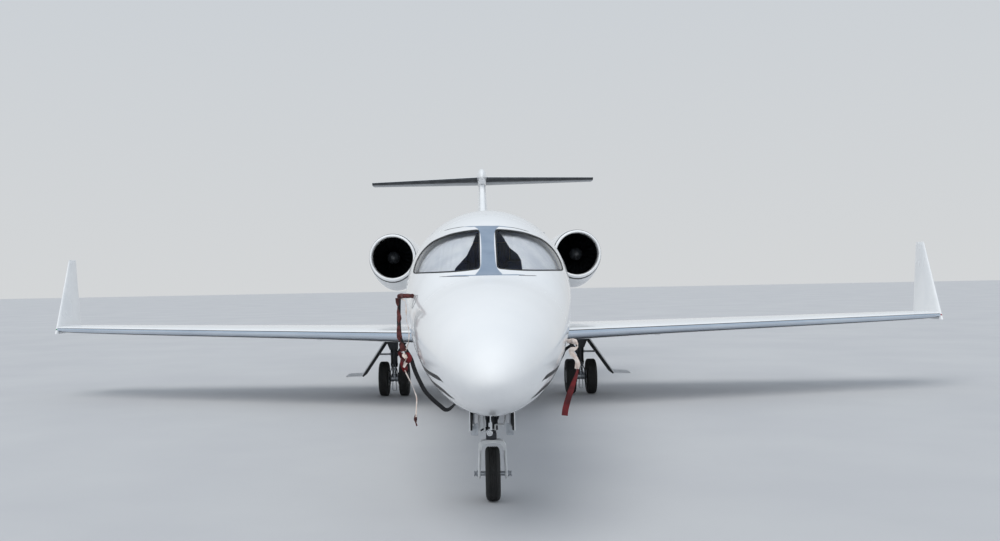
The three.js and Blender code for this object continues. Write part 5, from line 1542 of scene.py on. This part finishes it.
# The starboard cover's lanyards, its folded streamer and the loose end; then the port cover's flap and long streamer
STREAMERS = (
    ("starboard_upper", "probe_cover_sleeve_starboard", MAROON_CLOTH, 0.08,
     [(-812, 2240, 1735), (-812, 2236, 1690), (-808, 2232, 1619), (-798, 2230, 1554), (-806, 2230, 1472),
      (-800, 2232, 1390), (-786, 2236, 1325), (-766, 2250, 1262)],
     [38, 34, 30, 40, 36, 48, 52, 50], [10, 30, 150, 190, 330, 370, 510, 540]),
    ("starboard_lanyard", "probe_cover_sleeve_starboard", CANVAS_CLOTH, 0.08,
     [(-776, 2250, 1728), (-744, 2252, 1700), (-737, 2250, 1617), (-739, 2248, 1544), (-722, 2246, 1471),
      (-716, 2246, 1397), (-728, 2248, 1322), (-752, 2250, 1262)],
     [12, 16, 18, 12, 16, 12, 16, 14], [0, 90, 30, 130, 60, 150, 60, 20]),
    ("starboard_bundle", "streamer_starboard_upper", RED_CLOTH, 0.16,
     [(-790, 2252, 1256), (-796, 2236, 1232), (-778, 2214, 1190), (-740, 2206, 1176), (-716, 2216, 1206),
      (-734, 2236, 1240), (-768, 2240, 1222), (-772, 2226, 1160), (-752, 2222, 1100), (-742, 2228, 1082)],
     [40, 56, 62, 60, 56, 54, 56, 60, 50, 20], [20, 50, 100, 160, 210, 250, 300, 340, 380, 400]),
    ("starboard_lining", "streamer_starboard_bundle", CANVAS_CLOTH, 0.14,
     [(-774, 2244, 1240), (-756, 2206, 1222), (-736, 2198, 1190), (-748, 2200, 1160), (-766, 2206, 1120)],
     [24, 40, 36, 34, 18], [0, 30, 60, 20, 0]),
    ("starboard_tail", "streamer_starboard_bundle", CANVAS_CLOTH, 0.08,
     [(-758, 2222, 1092), (-731, 2222, 1036), (-703, 2222, 977), (-676, 2222, 908), (-658, 2222, 848),
      (-661, 2222, 775), (-664, 2222, 716), (-668, 2222, 680)],
     [11, 12, 13, 12, 13, 12, 14, 16], [10, 40, 80, 130, 170, 150, 180, 170]),
    ("starboard_end", "streamer_starboard_tail", MAROON_CLOTH, 0.14,
     [(-667, 2221, 700), (-671, 2220, 660), (-668, 2220, 628), (-660, 2220, 600)],
     [18, 34, 30, 24], [0, 30, 80, 60]),
    ("port_flap", "probe_cover_sleeve_port", CANVAS_CLOTH, 0.16,
     [(728, 2120, 1324), (744, 2090, 1318), (752, 2078, 1296), (736, 2078, 1276), (700, 2084, 1262),
      (704, 2082, 1230), (724, 2078, 1204), (743, 2076, 1176), (749, 2078, 1138), (742, 2082, 1100)],
     [26, 34, 30, 34, 44, 48, 42, 38, 46, 40], [0, 40, 100, 130, 180, 200, 190, 210, 180, 190]),
    ("port_long", "streamer_port_flap", RED_CLOTH, 0.05,
     [(752, 2084, 1112), (740, 2080, 1060), (712, 2076, 984), (691, 2074, 926), (671, 2072, 872),
      (650, 2072, 805), (635, 2072, 746), (628, 2072, 698)],
     [26, 34, 44, 50, 52, 53, 54, 54], [50, 40, 26, 12, 4, -4, 4, 8]),
)
for label, hangs_on, finish, curl, path, widths, twist in STREAMERS:
    band, size = strip(path, widths, twist, curl=curl)
    cloth(f"streamer_{label}", band, finish, size)

# Black webbing from the starboard cover, under the belly, to the port cover
strap_path = [(-800, 2330, 1735), (-810, 2352, 1640), (-814, 2366, 1500), (-802, 2370, 1360), (-756, 2370, 1262),
              (-712, 2370, 1185), (-682, 2370, 1090), (-645, 2370, 1000), (-578, 2370, 876), (-462, 2370, 762),
              (-385, 2370, 722)]
strap_path += [(x, 2370, float(belly_z(x, 2370)) - 6) for x in (-250, -100, 50, 200, 330)]
strap_path += [(skin_x(2370, z) + 9, 2370, z) for z in (830, 905, 1010, 1110, 1190)]
strap_path += [(skin_x(2300, 1250) + 12, 2300, 1250), (722, 2220, 1300)]
STRAP_TWIST = [60, 40, 25, 20, 12, 8, 6, 6, 8, 12, 40, 88, 88, 88, 80, 60, 45, 40, 40, 40, 50, 60, 60]
band, size = strip(strap_path, [38], STRAP_TWIST, steps_each=8, curl=0.03)
cloth("cover_strap", band, BLACK_WEBBING, size,
      wall=2.2)
hang = float(belly_z(378, 2370)) - 4
buckle = Form().add(block((350, 2349, hang - 30), (406, 2391, hang), 4))
buckle.add(bar((340, 2370, hang - 22), (416, 2370, hang - 22), 7))
make("cover_strap_buckle", buckle, BLACK_RUBBER_AND_REFLECTION)


# ---- black stripes painted along both sides of the nose ----
STRIPE_TIP, STRIPE_TAPER = 590, 130


def stripe(side, line, half, end):
    """A band on the skin along points of (station, height), with a pointed front end."""
    taper = STRIPE_TIP + STRIPE_TAPER * np.linspace(0, 1, 7)[:-1]
    stations = np.concatenate([taper, steps(STRIPE_TIP + STRIPE_TAPER, end, 40)])
    middle = np.interp(stations, [p[0] for p in line], [p[1] for p in line])
    middle = np.convolve(np.pad(middle, 1, "edge"), [0.25, 0.5, 0.25], "valid")
    reach = half * np.clip((stations - STRIPE_TIP) / STRIPE_TAPER, 0.03, 1) ** 0.7
    rings = []
    for s, z, h in zip(stations, middle, reach):
        edge = [(-0.4, -1), (0.9, -0.93), (0.9, -0.3), (0.9, 0.3), (0.9, 0.93), (-0.4, 1)]
        rings.append([(side * skin_x(s, z + h * share, -proud), s, z + h * share) for proud, share in edge])
    return loft([r[::-side] for r in rings])


UPPER_STRIPE = [(590, 1146), (650, 1166), (800, 1171), (1070, 1171), (1550, 1176), (1790, 1202), (2000, 1243),
                (2400, 1302), (3342, 1372)]
LOWER_STRIPE = [(590, 1024), (650, 1040), (740, 1056), (870, 1071), (1180, 1076), (1470, 1080), (1640, 1130),
                (2000, 1206), (2260, 1262)]
stripes = Form()
for side_name, side in SIDES:
    stripes.add(stripe(side, UPPER_STRIPE, 19, 3342))
    stripes.add(stripe(side, LOWER_STRIPE, 27, 2240))
make("nose_stripes", stripes, BLACK_ENAMEL)

# ---- inside: floor, bulkheads, instrument panel and seats ----
PARTITION, REAR_BULKHEAD = 3404, 9395
LINER, TRIM = 50, 48


def roof_z(station, x, inset=LINER):
    """Height of the liner under the roof, at x."""
    top, _, half, wide, _ = (float(v) for v in section(station, BODY))
    return wide + (top - inset - wide) * math.sqrt(max(0.0, 1 - (x / (half - inset)) ** 2))


floor_rings = []
for station in steps(2215, 9400, 240):
    half = min(skin_x(station, 1098, LINER), skin_x(station, 1121, LINER))
    floor_rings.append([(x, station, z) for x, z in corners(-half, 1098, half, 1120)])
make("cabin_carpet", Form().add(loft([r[::-1] for r in floor_rings])), CARPET)
heights = np.linspace(1122, 2545, 40)
edge = [(skin_x(REAR_BULKHEAD, z, LINER), z) for z in heights]
arch = [(x, roof_z(REAR_BULKHEAD, x)) for x in np.linspace(edge[-1][0], 0, 12)[1:]]
outline = edge + arch + [(-x, z) for x, z in arch[::-1][1:]] + [(-x, z) for x, z in edge[::-1]]
make("cabin_rear_bulkhead", prism(outline, 9388, 9408, axis=1, ease=1), LINER_CLOTH)
# The partition, its curtain, the instrument panel and the crew seats are navy: a painted reflection of the sky in the
# windscreen
partition = Form()
for side_name, side in SIDES:
    outline = [(228, 1122)] + [(skin_x(PARTITION, z, 45), z) for z in np.linspace(1122, 2400, 30)] + [(228, 2400)]
    partition.add(prism(outline, 3396, 3414, axis=1, ease=1), 0, side)
    partition.add(prism(rounded(corners(222, 1122, 234, 2262), 3), 3388, 3422, axis=1, ease=1), 1, side)
outline = [(-228, 2250), (228, 2250)] + [(x, roof_z(PARTITION, x, 45)) for x in np.linspace(228, -228, 20)]
partition.add(prism(outline, 3396, 3414, axis=1, ease=1))
make("cockpit_partition", partition, [NAVY_TRIM_SKY_REFLECTION, DARK_TRIM_SKY_REFLECTION])
xs, zs = np.linspace(-220.5, 220.5, 91), np.linspace(1136, 2248.5, 24)
curtain = [[(x, 3405 + (10 + 6 * (2240 - z) / 1100) * math.sin(x / 11.5 + 0.4 * math.sin(z / 260)), z) for x in xs]
           for z in zs]
points = np.array(curtain).reshape(-1, 3)
cloth("cockpit_curtain", (points, grid(len(zs), len(xs))), NAVY_TRIM_SKY_REFLECTION, (560, 1112),
      wall=1.2)

# Instrument panel: a binnacle that follows the nose, its hood, four displays, knobs and two control wheels
rings = []
for station in np.linspace(1852, 2148, 14):
    crown = min(1818.0, roof_z(station, 0, TRIM) - 2)
    heights = np.linspace(1352, crown, 16)
    halves = [min(518.0, skin_x(station, z, TRIM)) - (14 if z > crown - 1 else 0) for z in heights]
    right_side = [(h, station, z) for h, z in zip(halves, heights)]
    rings.append(right_side + [(-x, s, z) for x, s, z in right_side[::-1]])
binnacle = Form().add(loft([r[::-1] for r in rings]), 0)
hood = rounded([(2090, 1800), (2186, 1796), (2190, 1806), (2184, 1816), (2090, 1822)], 4)
binnacle.add(prism(hood, -505, 505, axis=0, ease=3), 0)
binnacle.add(block((-112, 2140, 1352), (112, 2170, 1560), 8), 1)
for x, half, z0, z1 in ((-372, 118, 1560, 1770), (-126, 98, 1580, 1760), (126, 98, 1580, 1760), (372, 118, 1560, 1770)):
    bezel = rounded(corners(x - half, z0, x + half, z1), 14)
    binnacle.add(prism(bezel, 2142, 2156, axis=1, ease=2), 1)
    display = rounded(corners(x - half + 12, z0 + 12, x + half - 12, z1 - 12), 6)
    binnacle.add(prism(display, 2150, 2158, axis=1, ease=1), 2)
for x in (-330, 330):
    binnacle.add(bar((x, 2146, 1500), (x, 2300, 1512), 14, sides=20), 1)
    grip = [(150, 2312, 1590), (158, 2308, 1540), (120, 2304, 1500), (40, 2300, 1506)]
    wheel_line = [(x - away, s, z) for away, s, z in grip] + [(x, 2300, 1512)]
    wheel_line += [(x + away, s, z) for away, s, z in grip[::-1]]
    binnacle.add(tube(wheel_line, 13, 12), 0)
make("instrument_panel_trim", binnacle, [DARK_TRIM_SKY_REFLECTION, PANEL_PLASTIC, DISPLAY_GLASS],
     stands_for="instrument_panel")
rows = [([(-480, 2147, z), (480, 2147, z)], [(0, 1, 0)] * 2) for z in (1530, 1782)]
heads("instrument_knobs", rows, 40, 8, 22, PANEL_PLASTIC, sides=12)


def pad_shape(half, crown=0.26, pull=0.035):
    """A cushion about the origin: crowned faces, sides that pull in between its corners."""
    made = bmesh.new()
    bmesh.ops.create_cube(made, size=2)
    bmesh.ops.subdivide_edges(made, edges=made.edges[:], cuts=9, use_grid_fill=True)
    points = np.array([tuple(v.co) for v in made.verts])
    faces = [tuple(v.index for v in f.verts) for f in made.faces]
    made.free()
    a, b, c = points.T
    roundness = 1 - 0.07 * (np.abs(a * b) ** 3)
    x = a * half[0] * (1 - pull * (1 - b * b)) * roundness
    y = b * half[1] * (1 - pull * (1 - a * a)) * roundness
    z = c * half[2] * (1 - crown + crown * (1 - a**4) * (1 - b**4))
    return np.stack([x, y, z], 1), faces


def inflated(shape, cap, pressure=4.0, voxel=10.0):
    """The shape remeshed and blown up a little as a cloth bag, no point moved by more than cap; in mm."""
    mesh = bpy.data.meshes.new("bag")
    mesh.from_pydata((shape[0] / 1000).tolist(), [], shape[1])
    bag = bpy.data.objects.new("bag", mesh)
    bpy.context.scene.collection.objects.link(bag)
    remesh = bag.modifiers.new("remesh", "REMESH")
    remesh.mode = "VOXEL"
    remesh.voxel_size = voxel / 1000
    settle(bag)
    count = len(bag.data.vertices)
    before = np.empty(count * 3)
    bag.data.vertices.foreach_get("co", before)
    after = before.copy()
    air = bag.modifiers.new("air", "CLOTH")
    air.settings.use_pressure = True
    air.settings.uniform_pressure_force = pressure
    air.settings.effector_weights.gravity = 0
    for number in range(1, 21):
        bpy.context.scene.frame_set(number)
    blown = bag.evaluated_get(bpy.context.evaluated_depsgraph_get()).to_mesh()
    blown.vertices.foreach_get("co", after)
    bag.modifiers.clear()
    bpy.context.scene.frame_set(1)
    before, move = before.reshape(-1, 3) * 1000, (after - before).reshape(-1, 3) * 1000
    far = np.linalg.norm(move, axis=1, keepdims=True)
    faces = [tuple(p.vertices) for p in bag.data.polygons]
    bpy.data.objects.remove(bag)
    return before + move * np.minimum(1, cap / np.maximum(far, 1e-6)), faces


def sewn(shape, lines, axis, depth=6.0, width=7.0):
    """Seams pressed into both faces of a pad along the lines where a coordinate has these values."""
    points = shape[0].copy()
    for line in lines:
        dent = np.exp(-(((points[:, axis] - line) / width) ** 2))
        points[:, 2] -= np.sign(points[:, 2]) * depth * dent * (np.abs(points[:, 2]) > 12)
    return points, shape[1]


SEAT_PAD = sewn(inflated(pad_shape((184, 214, 44)), 9), (-70, 70), 0)
BACK_PAD = sewn(inflated(pad_shape((184, 168, 44)), 9), (-84, 0, 84), 1)
HEAD_PAD = inflated(pad_shape((146, 74, 36), 0.35), 7)
SEATS = [("cabin", f"{row}_{side_name}", side * 430, station, back, CREAM_LEATHER)
         for row, (station, back) in enumerate(((5450, -1), (6700, 1), (7900, 1)), 1) for side_name, side in SIDES]
SEATS += [("crew", side_name, side * 330, 2980, 1, BLUE_LEATHER_SKY_REFLECTION) for side_name, side in SIDES]


def placed(shape, x, station, back, centre, upright):
    """A pad set at its place in a chair that faces against back; upright stands it on its edge."""
    points, faces = shape[0].copy(), shape[1]
    if upright:
        points = np.stack([points[:, 0], -points[:, 2] * back, points[:, 1]], 1)
        points[:, 1] += back * points[:, 2] * 0.05
        faces = faces if back > 0 else [f[::-1] for f in faces]
    return points + (x, station + back * centre[0], centre[1]), faces


PADS = (("seat", SEAT_PAD, (-12, 1488), False), ("back", BACK_PAD, (226, 1722), True),
        ("head", HEAD_PAD, (240, 1984), True))
# For each kind: its frames, the solid, its finishes, and where the tracks in the floor start and end
FRAMES = {
    "cabin": (Form(), "cabin_seats", [PANEL_PLASTIC, CREAM_LEATHER, CAST_ALUMINIUM], 430, 5200, 8150),
    "crew": (Form(), "crew_seats", [DARK_TRIM_SKY_REFLECTION, BLUE_LEATHER_SKY_REFLECTION, CAST_ALUMINIUM], 330, 2830, 3150),
}
for kind, label, x, station, back, leather in SEATS:
    for part, shape, centre, upright in PADS:
        pad = make(f"{kind}_{part}_pad_{label}", placed(shape, x, station, back, centre, upright), leather,
                   sharp=70)
    form = FRAMES[kind][0]
    near, far = sorted((station + back * 268, station + back * 289))
    rest = [(-222, 1440), (222, 1440), (222, 1890), (165, 2074), (-165, 2074), (-222, 1890)]
    form.add(prism(rounded([(x + away, z) for away, z in rest], 50), near, far, axis=1, ease=5), 0)
    form.add(block((x - 200, station - 218, 1432), (x + 200, station + 218, 1446), 5), 0)
    for edge in (-1, 1):
        inner, outer = sorted((x + edge * 196, x + edge * 229))
        arm = rounded([(station - 170, 1440), (station + 170, 1440), (station + 210, 1600), (station - 190, 1600)], 40)
        form.add(prism(arm, inner, outer, axis=0, ease=6), 1 if kind == "cabin" else 0)
        form.add(block((inner - 1, station - 186, 1598), (outer + 1, station + 200, 1616), 8), 1)
    for half_x, half_s, low, high, ease in ((118, 148, 1150, 1240, 6), (84, 100, 1238, 1434, 4)):
        foot = rounded(corners(x - half_x, station - half_s, x + half_x, station + half_s), 30)
        form.add(prism(foot, low, high, axis=2, ease=ease), 0)
for kind, (form, solid, finishes, reach, front, back) in FRAMES.items():
    for x in (reach, -reach):
        for track in (-110, 110):
            form.add(block((x + track - 16, front, 1120.5), (x + track + 16, back, 1149.5), 4), 2)
    make(f"{kind}_seat_frames", form, finishes, stands_for=solid)

# ---- seams, screws and lights outside ----
joints = Form()
for side_name, side in SIDES:
    seam = [nacelle_ring(s, proud)
            for s, proud in ((10872, 0.6), (10874, 1.6), (10924, 1.6), (10926, 0.6), (10926, -2), (10872, -2))]
    joints.add(hoop(seam), 0, side)
make("nacelle_seams", joints, BLACK_RUBBER_AND_REFLECTION)
PORT_PLACE = (2230, 1700)


def beside_port(radius, turn):
    """Station and height at a turn about the static port's middle."""
    return PORT_PLACE[0] + radius * math.cos(turn), PORT_PLACE[1] + radius * math.sin(turn)


port_ring = Form()
ring = [(-skin_x(s, z, -0.5), s, z) for s, z in (beside_port(58, t) for t in circle(40))]
port_ring.add(tube(ring + ring[:1], 2.2, 6))
for t in (0.6, 2.2, 3.8, 5.4):
    s, z = beside_port(22, t)
    port_ring.add(bar((-skin_x(s, z) + 2, s, z), (-skin_x(s, z) - 0.8, s, z), 3, sides=8))
make("static_port_outline", port_ring, GREY_ENAMEL_AND_SHADE)
rows = []
turns = np.linspace(0, 2 * math.pi, 160)
# Screws on both sides of each joint in the skin
SCREW_ROWS = [joint + way * away for joint, away in ((COCKPIT, 18), (DOOR_RING, 20), (CABIN, 18), (TAIL, 18))
              for way in (-1, 1)]
for station in SCREW_ROWS:
    path = skin(station, turns)
    out = path - skin(station, turns, 20)
    out /= np.maximum(np.linalg.norm(out, axis=1)[:, None], 1e-6)
    keep = in_screen(-26)(path) < 0
    if BAY_FRONT - 10 < station < BAY_BACK + 10:
        keep &= (np.abs(path[:, 0]) >= BAY_HALF + 20) | (path[:, 2] >= 1000)
    for run in np.split(np.arange(len(path)), np.flatnonzero(np.diff(keep)) + 1):
        if keep[run[0]] and len(run) > 2:
            rows.append((path[run], out[run]))
heads("panel_screws", rows, 55, 4.2, 1.4, WHITE_ENAMEL)
for side_name, side, lens in (("port", 1, RED_LENS), ("starboard", -1, GREEN_LENS)):
    wisp = []
    for x in (5300, 6500):
        lead, chord, z = look_up(WING, x, 1, 2, 3)
        wisp.append((side * x, lead + chord + 40, z - 4))
    wisps = [(wisp, [(0, 1, 0)] * 2)]
    heads(f"static_wicks_{side_name}", wisps, 300, 2.2, 110, BLACK_RUBBER_AND_REFLECTION, body=f"aileron_body_{side_name}",
          sides=6)
    lamp = turned([(0, 3), (8, 11), (24, 16), (60, 19), (110, 15), (140, 4)], (side * 7200, 9838, 1168),
                  (side * 7200, 9839, 1168.2), sides=24)
    make(f"wing_tip_lamp_{side_name}", lamp, lens)
beacon = turned([(0, 30), (3, 34), (10, 33), (24, 24), (32, 8)], (0, 16300, 4326), (0, 16300, 4327), sides=32)
make("tail_beacon", clip(beacon, lambda p: 4334.9 - p[:, 2]), RED_LENS, sharp=50)


# ---- floor, light and the end of the script ----
def stage_floor():
    """The ground that the aircraft stands on."""
    mesh = bpy.data.meshes.new("floor")
    reach = 150
    mesh.from_pydata([(x, y, 0) for x, y in corners(-reach, -reach, reach, reach)], [], [(0, 1, 2, 3)])
    floor = bpy.data.objects.new("floor", mesh)
    bpy.context.scene.collection.objects.link(floor)
    # Plain floated concrete, pale and nearly matt
    mesh.materials.append(coating("pale_concrete", "#c3c4c6", "#bebfc2", 2500, 0.8, 0.05))


def soft_light(name, towards, spread, power, colour):
    """A broad, even light from far away that leaves no spot in gloss; spread in degrees."""
    data = bpy.data.lights.new(name, "SUN")
    data.angle = math.radians(spread)
    data.energy = power
    data.color = linear(colour)[:3]
    lamp = bpy.data.objects.new(name, data)
    lamp.visible_glossy = False
    bpy.context.scene.collection.objects.link(lamp)
    lamp.rotation_mode = "QUATERNION"
    lamp.rotation_quaternion = Vector(towards).to_track_quat("-Z", "Y")


stage_floor()
soft_light("key", (0.25, 0.55, -1.0), 42, 1.35, "#fffdf8")
soft_light("fill", (-0.4, 0.9, -0.35), 120, 0.4, "#f2f7ff")
world = bpy.data.worlds.new("studio")
bpy.context.scene.world = world
world.use_nodes = True
sky = world.node_tree
background = sky.nodes["Background"]
direction = add_node(sky, "ShaderNodeTexCoord").outputs["Generated"]
height = add_node(sky, "ShaderNodeSeparateXYZ", links={"Vector": direction}).outputs["Z"]
rising = add_node(sky, "ShaderNodeMapRange", {"From Min": -0.05, "From Max": 0.6}, {"Value": height})
dome = add_node(sky, "ShaderNodeMix", {"data_type": "RGBA", 6: linear("#f3f5f6"), 7: linear("#dde7f2")},
                {0: rising.outputs["Result"]})
sky.links.new(dome.outputs[2], background.inputs["Color"])
background.inputs["Strength"].default_value = 0.74
view = bpy.context.scene.view_settings
view.view_transform = "Standard"
view.look = "None"
view.exposure = 0.0

bpy.context.view_layer.update()
